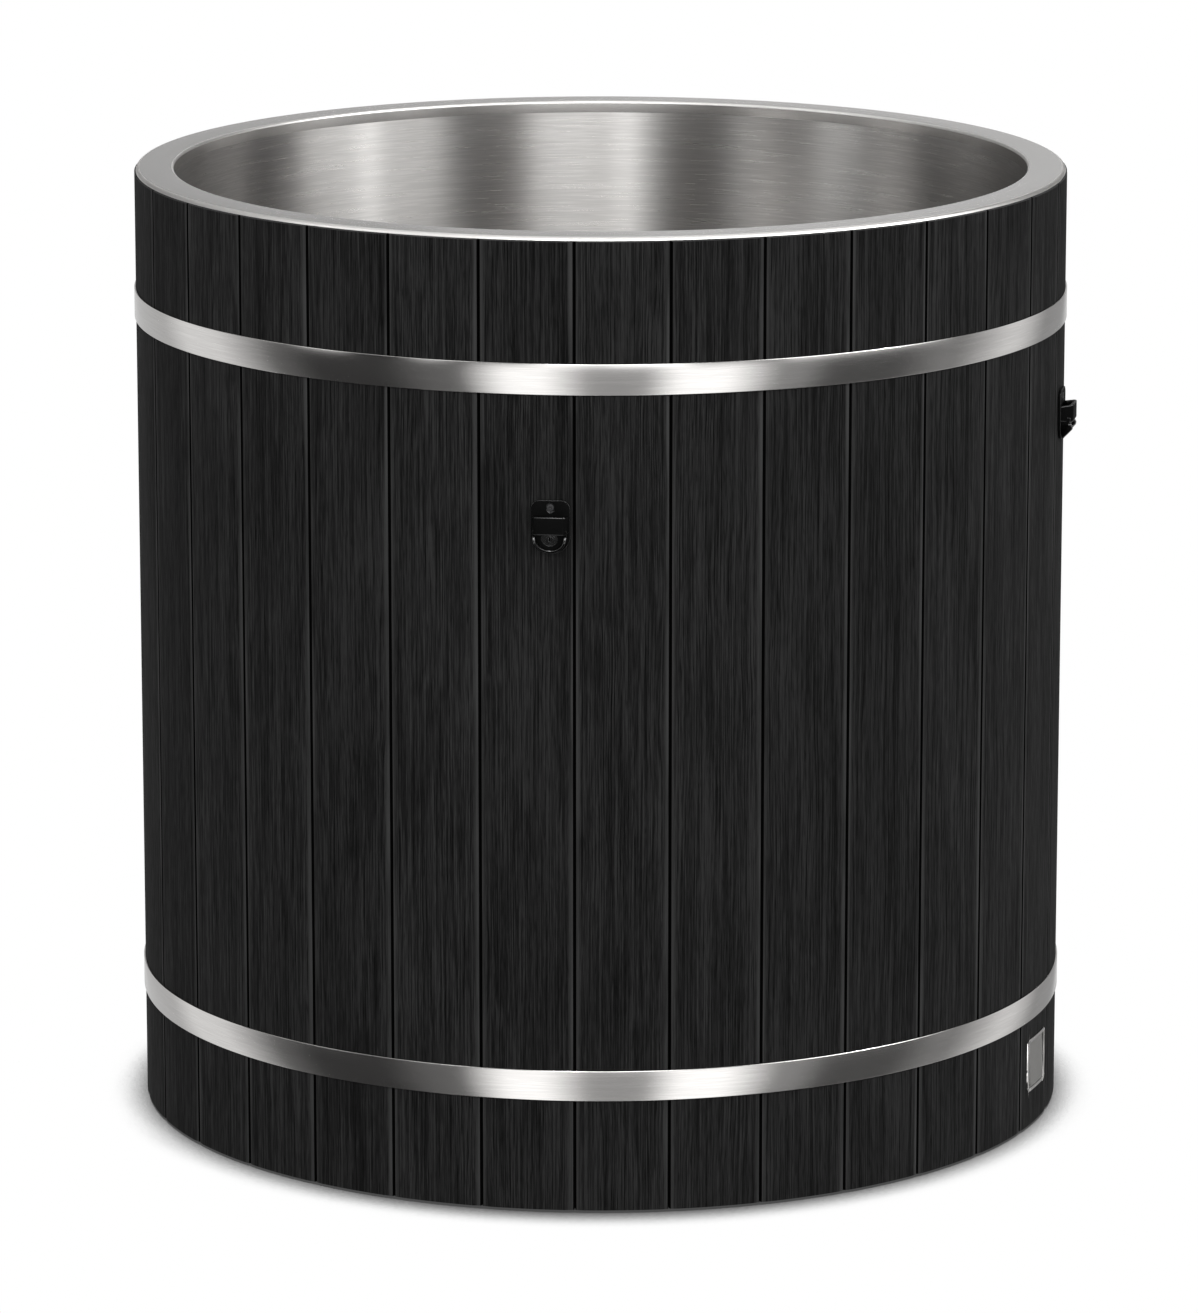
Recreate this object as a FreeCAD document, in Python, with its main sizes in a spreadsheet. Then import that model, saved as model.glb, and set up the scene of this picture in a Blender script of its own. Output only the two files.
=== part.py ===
import FreeCAD
import Part
import math
import os
import types

import Sketcher

# Barrel cold plunge tub: a coopered ring of tongued staves, drawn together by two steel hoops, round an
# insulated steel liner that stands on a deck, joists and a ground board. The liner drains through its floor
# to a ball valve at the back. Two moulded latches for a cover are screwed to the staves, each with a turning
# key lock.
#
# Z points up along the tub's axis, from the floor. Angles go round from the front (-Y) towards the right
# (+X). A piece on the outside is drawn facing the front, with -Y outwards, and is then swung round.

# Driving dimensions: name, value in millimetres, degrees or a count, and what it sets.
SIZES = (
    ("outer_radius", 533, "tub axis to the outer face of the staves"),
    ("tub_height", 1090, "floor to the top of the rim"),
    ("fit_gap", 0.3, "room left between pieces that are slid together"),
    ("stave_count", 32, "staves in the ring"),
    ("stave_thickness", 22, "outer face to inner face of a stave"),
    ("stave_lift", 3, "floor to the lower ends of the staves"),
    ("stave_phase", 2.75, "angle of the first seam to the right of the front"),
    ("seam_gap", 0.8, "open seam between two staves"),
    ("bevel_width", 10, "planed bevel along each seam"),
    ("bevel_drop", 1, "how far that bevel falls"),
    ("arris_radius", 1.5, "rounding of a stave's outer edges"),
    ("tongue_width", 6, "tongue of a stave, through its thickness"),
    ("tongue_depth", 6, "how far the tongue stands out"),
    ("tongue_clearance", 0.3, "room round the tongue in its groove"),
    ("wall_foam", 20.4, "insulation round the liner wall"),
    ("liner_sheet", 2, "steel of the liner and the rim"),
    ("rim_edge_radius", 6.5, "rounding of the rim's outer edge"),
    ("rim_skirt", 0.8, "straight edge of the rim on the staves"),
    ("rim_bead_radius", 3, "rounding of the rim's inner edge"),
    ("rim_flange", 14, "rim turned down to meet the liner wall"),
    ("knuckle_radius", 25, "cove between the liner's floor and wall"),
    ("floor_flange", 10, "liner floor turned up past the cove"),
    ("floor_dish", 8, "fall of the liner floor to the drain"),
    ("floor_flat_radius", 48, "level patch round the drain"),
    ("board_thickness", 10, "ground board"),
    ("joist_height", 60, "joists between ground board and deck"),
    ("joist_width", 45, "width of a joist"),
    ("joist_inset", 130.7, "edge of the ground board to the outer joists"),
    ("joist_spacing", 230, "outer joists to the inner joists"),
    ("deck_thickness", 18, "deck under the insulation"),
    ("floor_foam", 25, "insulation under the liner floor"),
    ("hoop_width", 34, "height of a hoop's band"),
    ("hoop_thickness", 1.6, "steel of a hoop"),
    ("hoop_edge", 0.6, "rounding of a hoop's outer edges"),
    ("hoop_seat", 0.2, "room between a hoop and the staves"),
    ("upper_hoop_height", 935.5, "floor to the middle of the upper hoop"),
    ("lower_hoop_height", 146, "floor to the middle of the lower hoop"),
    ("closure_angle", 154.6, "where the hoops are bolted together"),
    ("closure_gap", 16, "gap between the two lugs of a hoop"),
    ("lug_reach", 22, "how far a lug stands out"),
    ("lug_thickness", 4, "steel of a lug"),
    ("lug_height", 26, "height of a lug"),
    ("lug_corner", 5, "rounding of a lug's outer corners"),
    ("bolt_radius", 4, "bolt that draws the lugs together"),
    ("bolt_play", 0.4, "room round the bolt in the lugs"),
    ("bolt_reach", 12, "hoop to the axis of the bolt"),
    ("bolt_flats", 13, "width across flats of bolt head and nut"),
    ("bolt_head", 5.3, "height of the bolt's head"),
    ("nut_height", 6.5, "height of the nut"),
    ("nut_gap", 0.05, "room between nut and bolt"),
    ("bolt_tail", 6, "bolt past the nut"),
    ("front_latch_angle", 0, "where the front latch sits"),
    ("front_latch_drop", 161.5, "upper hoop down to the middle of the front latch"),
    ("side_latch_angle", 85, "where the side latch sits"),
    ("side_latch_drop", 118.5, "upper hoop down to the middle of the side latch"),
    ("latch_seat", 0.15, "room between a latch and the staves"),
    ("latch_width", 43, "width of a latch's plate"),
    ("latch_height", 58, "height of a latch's plate"),
    ("latch_plate", 3, "thickness of a latch's plate"),
    ("latch_corner", 10, "rounding of the plate's upper corners"),
    ("latch_foot_corner", 19, "rounding of the plate's lower corners"),
    ("latch_edge", 0.8, "rounding of the plate's front edge"),
    ("block_base_width", 40, "socket block at the plate"),
    ("block_front_width", 34.5, "socket block at its front"),
    ("block_reach", 17, "socket block's front from the staves"),
    ("block_top", 10.5, "socket block's top above the latch's middle"),
    ("block_drop", 4, "socket block's underside below the latch's middle"),
    ("block_corner", 4, "rounding of the block's front corners"),
    ("lip_radius", 1.5, "rounding of the block's upper edge"),
    ("mouth_width", 26, "socket that takes the cover's tongue"),
    ("mouth_depth", 10, "socket from the plate to its front wall"),
    ("mouth_drop", 2, "socket's bottom below the latch's middle"),
    ("chin_width", 37, "chin below the socket block"),
    ("chin_margin", 1, "plate showing below the chin"),
    ("chin_reach", 15, "chin's front at its top"),
    ("chin_tilt", 20, "lean of the chin's face"),
    ("chin_lip", 2, "raised lip round the chin's face"),
    ("chin_recess", 1.2, "how far the chin's face lies below its lip"),
    ("lock_drop", 12, "lock's middle below the latch's middle"),
    ("lock_recess", 2.6, "depth of the lock's seat"),
    ("lock_head_radius", 8.6, "turning head of the lock"),
    ("lock_head_height", 1.5, "thickness of the lock's head"),
    ("lock_step_radius", 6.2, "raised ring on the lock's head"),
    ("lock_step_height", 0.6, "height of that ring"),
    ("lock_core_radius", 4.2, "core of the lock that takes the key"),
    ("lock_core_height", 0.7, "height of the core above the ring"),
    ("lock_head_gap", 0.4, "room round the lock's head"),
    ("lock_end_play", 0.1, "room under the lock's head and behind its shaft"),
    ("lock_shaft_radius", 4, "shaft of the lock"),
    ("lock_shaft_length", 7, "length of the shaft"),
    ("lock_running_gap", 0.06, "running fit of the shaft in its bore"),
    ("key_slot_width", 1.6, "slot for the key"),
    ("key_slot_length", 5, "length of that slot"),
    ("key_slot_depth", 3, "depth of that slot"),
    ("screw_rise", 21, "latch screw above the latch's middle"),
    ("screw_travel", 3, "length of the straight part of the screw's slot"),
    ("screw_slot_radius", 2.4, "half width of the screw's slot"),
    ("screw_seat_radius", 4.2, "half width of the recess round the screw's head"),
    ("screw_seat_depth", 1.6, "depth of that recess"),
    ("screw_head_radius", 3.9, "head of a latch screw"),
    ("screw_head_height", 1.4, "height of that head"),
    ("screw_head_edge", 0.5, "rounding of that head"),
    ("screw_radius", 2.1, "shank of a latch screw"),
    ("screw_length", 18, "length of that shank"),
    ("screw_pilot_gap", 0.1, "room round the shank and the peg in the stave"),
    ("peg_radius", 3, "moulded peg that keeps a latch from turning"),
    ("peg_length", 8, "length of that peg"),
    ("peg_drop", 18, "peg below the latch's middle"),
    ("badge_angle", 75.9, "where the small plate sits"),
    ("badge_centre_height", 75, "floor to the middle of the small plate"),
    ("badge_width", 66, "width of the small plate along the curve"),
    ("badge_height", 62, "height of the small plate"),
    ("badge_thickness", 1.2, "steel of the small plate"),
    ("badge_corner", 4, "rounding of the small plate's corners"),
    ("badge_seat", 0.15, "room between the small plate and the staves"),
    ("drain_angle", 180, "where the drain comes out"),
    ("drain_height", 40, "floor to the axis of the drain pipe"),
    ("waste_radius", 21, "waste's tail, outside"),
    ("waste_bore", 17, "waste's bore"),
    ("waste_flange_radius", 40, "waste's flange in the liner floor"),
    ("waste_flange", 3, "thickness of that flange"),
    ("waste_bevel", 1.5, "bevel of that flange"),
    ("waste_tail_height", 4, "waste's lower end above the pipe's axis"),
    ("waste_hole_play", 3, "room round the waste in deck and insulation"),
    ("strainer_radius", 32, "strainer over the waste"),
    ("strainer_sheet", 1.5, "steel of the strainer"),
    ("strainer_skirt", 6, "strainer's skirt down in the waste"),
    ("strainer_hole_radius", 1.8, "a hole of the strainer"),
    ("strainer_inner_ring", 5.5, "inner ring of holes"),
    ("strainer_inner_count", 6, "holes in the inner ring"),
    ("strainer_outer_ring", 11, "outer ring of holes"),
    ("strainer_outer_count", 12, "holes in the outer ring"),
    ("locknut_flats", 60, "waste's locknut, across flats"),
    ("locknut_height", 8, "height of the locknut"),
    ("elbow_wall", 4, "wall of the elbow"),
    ("elbow_gap", 1, "locknut to the elbow"),
    ("elbow_reach", 48, "tub axis to the elbow's outlet"),
    ("elbow_base", 22, "pipe's axis to the elbow's underside"),
    ("elbow_edge", 8, "rounding of the elbow's underside"),
    ("pipe_radius", 16.7, "drain pipe, outside"),
    ("pipe_bore", 14, "drain pipe's bore"),
    ("pipe_hole_play", 1.5, "room round the pipe in the stave"),
    ("socket_depth", 18, "pipe's length in a socket"),
    ("socket_gap", 0.05, "room round a pipe in its socket"),
    ("valve_reach", 58, "staves to the valve's stem"),
    ("valve_inlet", 38, "stem to the valve's inlet end"),
    ("valve_neck_radius", 21, "valve's inlet neck, outside"),
    ("valve_flats", 46, "valve's inlet end, across flats"),
    ("valve_flats_length", 14, "length of those flats"),
    ("valve_radius", 27, "valve's body round the ball"),
    ("valve_shoulder", 4, "slope between inlet end and body"),
    ("valve_cap_place", 26, "stem to the joint with the outlet"),
    ("valve_port", 12, "port through valve and ball"),
    ("ball_radius", 18, "valve's ball"),
    ("ball_gap", 0.3, "room round the ball"),
    ("thread_gap", 0.1, "room round the outlet's inner end"),
    ("outlet_collar", 10, "collar of the outlet"),
    ("outlet_flats", 50, "collar of the outlet, across flats"),
    ("outlet_radius", 16.6, "male end for a hose union"),
    ("outlet_length", 20, "length of that end"),
    ("bonnet_radius", 12, "neck round the valve's stem"),
    ("bonnet_height", 40, "pipe's axis to the top of that neck"),
    ("stem_radius", 5, "valve's stem"),
    ("stem_gap", 0.06, "running fit of the stem"),
    ("stem_shoulder", 0.2, "stem standing out of its neck"),
    ("tongue_thickness", 4, "stem's tongue in the ball"),
    ("tongue_span", 9, "length of the stem's tongue"),
    ("tongue_play", 0.1, "room round the stem's tongue"),
    ("ball_slot_depth", 4, "slot in the ball for the stem's tongue"),
    ("tang_width", 7, "square of the stem that turns the lever"),
    ("tang_gap", 0.05, "room round that square"),
    ("stud_radius", 3, "threaded end of the stem"),
    ("stud_height", 3, "threaded end past the nut"),
    ("lever_length", 110, "stem to the lever's tip"),
    ("lever_thickness", 4, "steel of the lever"),
    ("lever_hub_radius", 13, "lever round the stem"),
    ("lever_root_width", 16, "lever's arm at the hub"),
    ("lever_tip_width", 14, "lever's arm at the tip"),
    ("grip_start", 45, "stem to the lever's grip"),
    ("grip_skin", 2, "thickness of the dipped grip"),
    ("lever_nut_flats", 12, "lever's nut, across flats"),
    ("lever_nut_height", 5, "height of the lever's nut"),
)

X_AXIS = FreeCAD.Vector(1, 0, 0)
Z_AXIS = FreeCAD.Vector(0, 0, 1)
ORIGIN = FreeCAD.Vector(0, 0, 0)
FULL_TURN = 360
HEXAGON_SIDES = 6
# Allowance when edges are picked by their place.
NEAR = 0.01

doc = FreeCAD.newDocument("plunge_tub")
sheet = doc.addObject("Spreadsheet::Sheet", "sizes")
nodes = []


class Size:
    """A value with the expression that ties it to the sheet."""

    def __init__(self, value, text):
        self.value = value
        self.text = text

    def __add__(self, other):
        other = size(other)
        return Size(self.value + other.value, f"({self.text} + {other.text})")

    def __sub__(self, other):
        other = size(other)
        return Size(self.value - other.value, f"({self.text} - {other.text})")

    def __mul__(self, other):
        other = size(other)
        return Size(self.value * other.value, f"({self.text} * {other.text})")

    def __truediv__(self, other):
        other = size(other)
        return Size(self.value / other.value, f"({self.text} / {other.text})")

    def __neg__(self):
        return Size(-self.value, f"(-1 * {self.text})")

    __radd__ = __add__
    __rmul__ = __mul__

    def __rsub__(self, other):
        return size(other) - self

    def __rtruediv__(self, other):
        return size(other) / self


def size(number):
    return number if isinstance(number, Size) else Size(float(number), f"({number})")


def sine(angle):
    angle = size(angle)
    return Size(math.sin(math.radians(angle.value)), f"sin({angle.text})")


def cosine(angle):
    angle = size(angle)
    return Size(math.cos(math.radians(angle.value)), f"cos({angle.text})")


def root(square):
    return Size(math.sqrt(square.value), f"sqrt({square.text})")


def read_sheet():
    """Puts the driving dimensions in the sheet and returns them by name."""
    for row, (name, value, meaning) in enumerate(SIZES, start=1):
        sheet.set(f"A{row}", meaning)
        sheet.set(f"B{row}", str(value))
        sheet.setAlias(f"B{row}", name)
    doc.recompute()
    return types.SimpleNamespace(
        **{name: Size(float(sheet.get(name)), f"sizes.{name}") for name, _, _ in SIZES}
    )


S = read_sheet()


def bind(thing, path, value):
    thing.setExpression(path, size(value).text)


def place(thing, angle, reach, height):
    """Stands a piece at a height, at a distance from the tub's axis, swung round to an angle."""
    angle, reach, height = size(angle), size(reach), size(height)
    across = reach * sine(angle)
    forward = -(reach * cosine(angle))
    thing.Placement = FreeCAD.Placement(
        FreeCAD.Vector(across.value, forward.value, height.value), FreeCAD.Rotation(Z_AXIS, angle.value)
    )
    bind(thing, "Placement.Base.x", across)
    bind(thing, "Placement.Base.y", forward)
    bind(thing, "Placement.Base.z", height)
    bind(thing, "Placement.Rotation.Angle", angle)
    return thing


def new_body(name, angle=0, reach=0, height=0):
    return place(doc.addObject("PartDesign::Body", name), angle, reach, height)


def keep(thing, label):
    """Names a finished sub-part and puts it on the list of nodes."""
    thing.Label = label
    nodes.append(thing)
    return thing


def keep_group(label, members):
    group = doc.addObject("Part::Compound", label)
    group.Links = members
    return keep(group, label)


def sketch_on(body, role, lift=0, across=0, tilt=None):
    """A sketch on one of the body's origin planes, lifted off it, moved across it and leant about its X."""
    sketch = body.newObject("Sketcher::SketchObject", f"{body.Name}_sketch")
    plane = next(feature for feature in body.Origin.OriginFeatures if feature.Role == role)
    sketch.AttachmentSupport = [(plane, "")]
    sketch.MapMode = "FlatFace"
    if tilt is not None:
        sketch.AttachmentOffset = FreeCAD.Placement(ORIGIN, FreeCAD.Rotation(X_AXIS, tilt.value))
        bind(sketch, "AttachmentOffset.Rotation.Angle", tilt)
    bind(sketch, "AttachmentOffset.Base.y", across)
    bind(sketch, "AttachmentOffset.Base.z", lift)
    return sketch


def fix(sketch, geometry, end, direction, value):
    """Ties one coordinate of a sketch point to the sheet."""
    if not isinstance(value, Size) and value == 0:
        axis = -2 if direction == "X" else -1
        sketch.addConstraint(Sketcher.Constraint("PointOnObject", geometry, end, axis))
        return
    value = size(value)
    constraint = Sketcher.Constraint(f"Distance{direction}", -1, 1, geometry, end, value.value)
    index = sketch.addConstraint(constraint)
    bind(sketch, f"Constraints[{index}]", value)


def vector(point):
    return FreeCAD.Vector(size(point[0]).value, size(point[1]).value, 0)


def arc_between(start, end, centre):
    """The shorter arc from start to end about centre, and which of its ends is which."""
    first = start - centre
    second = end - centre
    forwards = first.x * second.y - first.y * second.x > 0
    begin, finish = (first, second) if forwards else (second, first)
    angles = [math.atan2(radius.y, radius.x) for radius in (begin, finish)]
    circle = Part.Circle(centre, Z_AXIS, first.Length)
    return Part.ArcOfCircle(circle, *angles), (1, 2) if forwards else (2, 1)


def outline(sketch, points, centres=None):
    """A closed outline through the points. The stretch after a point that has a centre is an arc about it."""
    centres = centres or {}
    first = sketch.GeometryCount
    count = len(points)
    ends = []
    for i, point in enumerate(points):
        start, end = vector(point), vector(points[(i + 1) % count])
        if i in centres:
            stretch, order = arc_between(start, end, vector(centres[i]))
        else:
            stretch, order = Part.LineSegment(start, end), (1, 2)
        sketch.addGeometry(stretch)
        ends.append(order)
    for i, point in enumerate(points):
        after = (i + 1) % count
        joined = Sketcher.Constraint("Coincident", first + i, ends[i][1], first + after, ends[after][0])
        sketch.addConstraint(joined)
        for direction, value in zip("XY", point):
            fix(sketch, first + i, ends[i][0], direction, value)
    for i, centre in centres.items():
        chord = vector(points[(i + 1) % count]) - vector(points[i])
        level = abs(chord.x) >= abs(chord.y)
        fix(sketch, first + i, 3, "Y" if level else "X", centre[1] if level else centre[0])
    return sketch


def rectangle(sketch, left, bottom, right, top):
    return outline(sketch, [(left, bottom), (right, bottom), (right, top), (left, top)])


def circle(sketch, across, up, radius):
    index = sketch.addGeometry(Part.Circle(vector((across, up)), Z_AXIS, size(radius).value))
    fix(sketch, index, 3, "X", across)
    fix(sketch, index, 3, "Y", up)
    constraint = sketch.addConstraint(Sketcher.Constraint("Radius", index, size(radius).value))
    bind(sketch, f"Constraints[{constraint}]", radius)
    return sketch


def hexagon(sketch, across, up, flats):
    """A regular hexagon of a width across flats."""
    corner = flats / math.sqrt(3)
    points = []
    for step in range(HEXAGON_SIDES):
        turn = math.tau * (step + 0.5) / HEXAGON_SIDES
        points.append((across + corner * math.cos(turn), up + corner * math.sin(turn)))
    return outline(sketch, points)


def upright_slot(sketch, up, travel, radius):
    """A slot with round ends, standing on end."""
    low, high = up - travel / 2, up + travel / 2
    lower = [(-radius, low), (0, low - radius), (radius, low)]
    upper = [(radius, high), (0, high + radius), (-radius, high)]
    return outline(sketch, lower + upper, {0: (0, low), 1: (0, low), 3: (0, high), 4: (0, high)})


def pad(body, sketch, length, back=False):
    feature = body.newObject("PartDesign::Pad", f"{body.Name}_pad")
    feature.Profile = sketch
    feature.Reversed = back
    bind(feature, "Length", length)
    return feature


def pocket(body, sketch, length=None, back=False):
    """A cut of a length, or right through both ways when no length is given."""
    feature = body.newObject("PartDesign::Pocket", f"{body.Name}_pocket")
    feature.Profile = sketch
    feature.Reversed = back
    if length is None:
        feature.Midplane = True
        feature.Type = "ThroughAll"
    else:
        bind(feature, "Length", length)
    return feature


def revolve(body, sketch, angle=None):
    """Turns a profile about the sketch's upright axis, all the way round or by an angle to both sides."""
    feature = body.newObject("PartDesign::Revolution", f"{body.Name}_turned")
    feature.Profile = sketch
    feature.ReferenceAxis = (sketch, ["V_Axis"])
    feature.Angle = FULL_TURN
    if angle is not None:
        feature.Midplane = True
        bind(feature, "Angle", angle)
    return feature


def turned(label, points, centres=None):
    """A sub-part turned about the tub's axis from an outline of radius and height."""
    body = new_body(label)
    revolve(body, outline(sketch_on(body, "XZ_Plane"), points, centres))
    return keep(body, label)


def ring(label, inner, outer, bottom, top):
    return turned(label, [(inner, bottom), (outer, bottom), (outer, top), (inner, top)])


def soften(body, radius, chosen):
    """Rounds the edges of the body's last feature that chosen picks out."""
    doc.recompute()
    base = body.Tip
    names = [f"Edge{i}" for i, edge in enumerate(base.Shape.Edges, start=1) if chosen(edge)]
    if not names:
        raise RuntimeError(f"{body.Name}: no edge to round")
    fillet = body.newObject("PartDesign::Fillet", f"{body.Name}_rounding")
    fillet.Base = (base, names)
    bind(fillet, "Radius", radius)
    return fillet


def all_at(edge, test):
    return all(test(vertex.Point) for vertex in edge.Vertexes)


def axis_distance(point):
    return math.hypot(point.x, point.y)


def polar_pattern(body, feature, count):
    pattern = body.newObject("PartDesign::PolarPattern", f"{body.Name}_pattern")
    pattern.Originals = [feature]
    pattern.Axis = (feature.Profile[0], ["N_Axis"])
    pattern.Angle = FULL_TURN
    bind(pattern, "Occurrences", count)
    body.Tip = pattern
    return pattern


# Radii and heights that several pieces share.
stave_inner = S.outer_radius - S.stave_thickness
stave_top = S.tub_height - S.rim_edge_radius - S.rim_skirt
stave_pitch = FULL_TURN / S.stave_count
core_radius = stave_inner - S.fit_gap
liner_outer = core_radius - S.wall_foam - S.fit_gap
liner_radius = liner_outer - S.liner_sheet
deck_bottom = S.board_thickness + S.joist_height
deck_top = deck_bottom + S.deck_thickness
foam_top = deck_top + S.floor_foam
drain_floor = foam_top - S.floor_dish
waste_seat = drain_floor + S.liner_sheet
cove_height = foam_top + S.liner_sheet + S.knuckle_radius
floor_weld = cove_height + S.floor_flange
rim_weld = S.tub_height - S.rim_flange
latch_reach = S.outer_radius + S.latch_seat
latches = (
    ("front", S.front_latch_angle, S.upper_hoop_height - S.front_latch_drop),
    ("side", S.side_latch_angle, S.upper_hoop_height - S.side_latch_drop),
)
hoops = (("upper", S.upper_hoop_height), ("lower", S.lower_hoop_height))


def stave_blank():
    """One stave, facing the front: bevelled along both seams, tongued on its right, grooved on its left."""
    half = stave_pitch / 2
    bevel = S.seam_gap / 2 + S.bevel_width
    bevel_start = root(S.outer_radius * S.outer_radius - bevel * bevel)
    bevel_end = S.outer_radius - S.bevel_drop
    middle = S.outer_radius - S.stave_thickness / 2
    gap = S.seam_gap / 2
    tip = S.tongue_depth - gap
    bottom = tip + S.tongue_clearance
    thick = S.tongue_width / 2
    wide = thick + S.tongue_clearance

    def side_point(side, radius, shift):
        across = side * radius * sine(half) + shift * cosine(half)
        return across, side * shift * sine(half) - radius * cosine(half)

    right = [
        (bevel_start, -bevel),
        (bevel_end, -gap),
        (middle + thick, -gap),
        (middle + thick, tip),
        (middle - thick, tip),
        (middle - thick, -gap),
        (stave_inner, -gap),
    ]
    left = [
        (stave_inner, gap),
        (middle - wide, gap),
        (middle - wide, bottom),
        (middle + wide, bottom),
        (middle + wide, gap),
        (bevel_end, gap),
        (bevel_start, bevel),
    ]
    points = [side_point(1, *spot) for spot in right] + [side_point(-1, *spot) for spot in left]
    body = new_body("stave_blank")
    sketch = sketch_on(body, "XY_Plane", lift=S.stave_lift)
    outline(sketch, points, {len(right) - 1: (0, 0), len(points) - 1: (0, 0)})
    pad(body, sketch, stave_top - S.stave_lift)
    arris = math.hypot(bevel_end.value, gap.value)
    soften(body, S.arris_radius, lambda edge: all_at(edge, lambda p: abs(axis_distance(p) - arris) < NEAR))
    return body


def radial_hole(name, angle, height, radius, depth):
    """A drill that goes straight into the staves."""
    drill = new_body(name, angle, S.outer_radius, height)
    sketch = circle(sketch_on(drill, "XZ_Plane", lift=S.stave_thickness), 0, 0, radius)
    pad(drill, sketch, S.stave_thickness + depth, back=True)
    return drill


def stave_drills():
    """Every hole in the stave ring, with its angle and radius."""
    drills = []
    for side, angle, height in latches:
        screw = S.screw_radius + S.screw_pilot_gap
        peg = S.peg_radius + S.screw_pilot_gap
        holes = (("screw", S.screw_rise, screw, S.screw_length), ("peg", -S.peg_drop, peg, S.peg_length))
        for kind, rise, radius, depth in holes:
            drill = radial_hole(f"{side}_latch_{kind}_drill", angle, height + rise, radius, depth + S.fit_gap)
            drills.append((drill, angle, radius))
    radius = S.pipe_radius + S.pipe_hole_play
    through = S.stave_thickness * 2
    drill = radial_hole("drain_drill", S.drain_angle, S.drain_height, radius, through)
    drills.append((drill, S.drain_angle, radius))
    return drills


def make_staves():
    blank = stave_blank()
    drills = stave_drills()
    pitch = stave_pitch.value
    for number in range(1, int(S.stave_count.value) + 1):
        name = f"stave_{number:02d}"
        turn = S.stave_phase + stave_pitch * (number - 0.5)
        if turn.value > FULL_TURN / 2:
            turn = turn - FULL_TURN
        stave = new_body(name, turn)
        copy = stave.newObject("PartDesign::FeatureBase", f"{name}_blank")
        copy.BaseFeature = blank
        stave.Tip = copy
        for drill, angle, radius in drills:
            reach = pitch / 2 + math.degrees(radius.value / S.outer_radius.value)
            away = (angle.value - turn.value + FULL_TURN / 2) % FULL_TURN - FULL_TURN / 2
            if abs(away) < reach:
                drilled = doc.addObject("Part::Cut", f"{name}_drilled")
                drilled.Base = stave
                drilled.Tool = drill
                stave.Label = f"{stave.Name} before drilling"
                stave = drilled
        keep(stave, name)


def make_rim():
    inner, top, edge, sheet_steel = liner_radius, S.tub_height, S.rim_edge_radius, S.liner_sheet
    bead = S.rim_bead_radius
    edge_centre = (S.outer_radius - edge, top - edge)
    bead_centre = (inner + bead, top - bead)
    points = [
        (inner, rim_weld),
        (inner, top - bead),
        (inner + bead, top),
        (S.outer_radius - edge, top),
        (S.outer_radius, top - edge),
        (S.outer_radius, stave_top),
        (S.outer_radius - sheet_steel, stave_top),
        (S.outer_radius - sheet_steel, top - edge),
        (S.outer_radius - edge, top - sheet_steel),
        (inner + bead, top - sheet_steel),
        (inner + sheet_steel, top - bead),
        (inner + sheet_steel, rim_weld),
    ]
    turned("rim_ring", points, {1: bead_centre, 3: edge_centre, 7: edge_centre, 9: bead_centre})


def make_liner():
    """The liner's wall, and its floor: dished to the drain, coved, and turned up to meet the wall."""
    ring("liner_wall", liner_radius, liner_outer, floor_weld, rim_weld)
    cove = liner_radius - S.knuckle_radius
    hole = S.waste_radius + S.fit_gap
    cove_centre = (cove, cove_height)
    points = [
        (hole, drain_floor),
        (S.floor_flat_radius, drain_floor),
        (cove, foam_top),
        (liner_outer, cove_height),
        (liner_outer, floor_weld),
        (liner_radius, floor_weld),
        (liner_radius, cove_height),
        (cove, foam_top + S.liner_sheet),
        (S.floor_flat_radius, waste_seat),
        (hole, waste_seat),
    ]
    turned("liner_floor", points, {2: cove_centre, 6: cove_centre})


def make_insulation():
    ring("wall_insulation", liner_outer + S.fit_gap, core_radius, deck_top, S.tub_height - S.rim_bead_radius)
    hole = S.waste_radius + S.waste_hole_play
    cove = liner_radius - S.knuckle_radius
    points = [
        (hole, deck_top),
        (cove, deck_top),
        (cove, foam_top - S.fit_gap),
        (S.floor_flat_radius, drain_floor),
        (hole, drain_floor),
    ]
    turned("floor_insulation", points)


def make_base():
    """Ground board, joists and deck."""
    board = new_body("base_board")
    pad(board, circle(sketch_on(board, "XY_Plane"), 0, 0, core_radius), S.board_thickness)
    keep(board, "base_board")
    joists = []
    outer_place = core_radius - S.joist_inset
    for place_across in (outer_place - S.joist_spacing, outer_place):
        outer_side = place_across + S.joist_width / 2
        inner_side = place_across - S.joist_width / 2
        half_length = root(core_radius * core_radius - outer_side * outer_side)
        for side in (-1, 1):
            joist = new_body(f"joist_{len(joists) + 1}")
            sketch = sketch_on(joist, "XY_Plane", lift=S.board_thickness)
            rectangle(sketch, side * inner_side, -half_length, side * outer_side, half_length)
            pad(joist, sketch, S.joist_height)
            joists.append(joist)
    keep_group("base_joists", joists)
    ring("base_deck", S.waste_radius + S.waste_hole_play, core_radius, deck_bottom, deck_top)


def hoop_angle():
    """A hoop is drawn with its gap on the left, three quarters of a turn round from the front."""
    return S.closure_angle - FULL_TURN * 3 / 4


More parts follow.
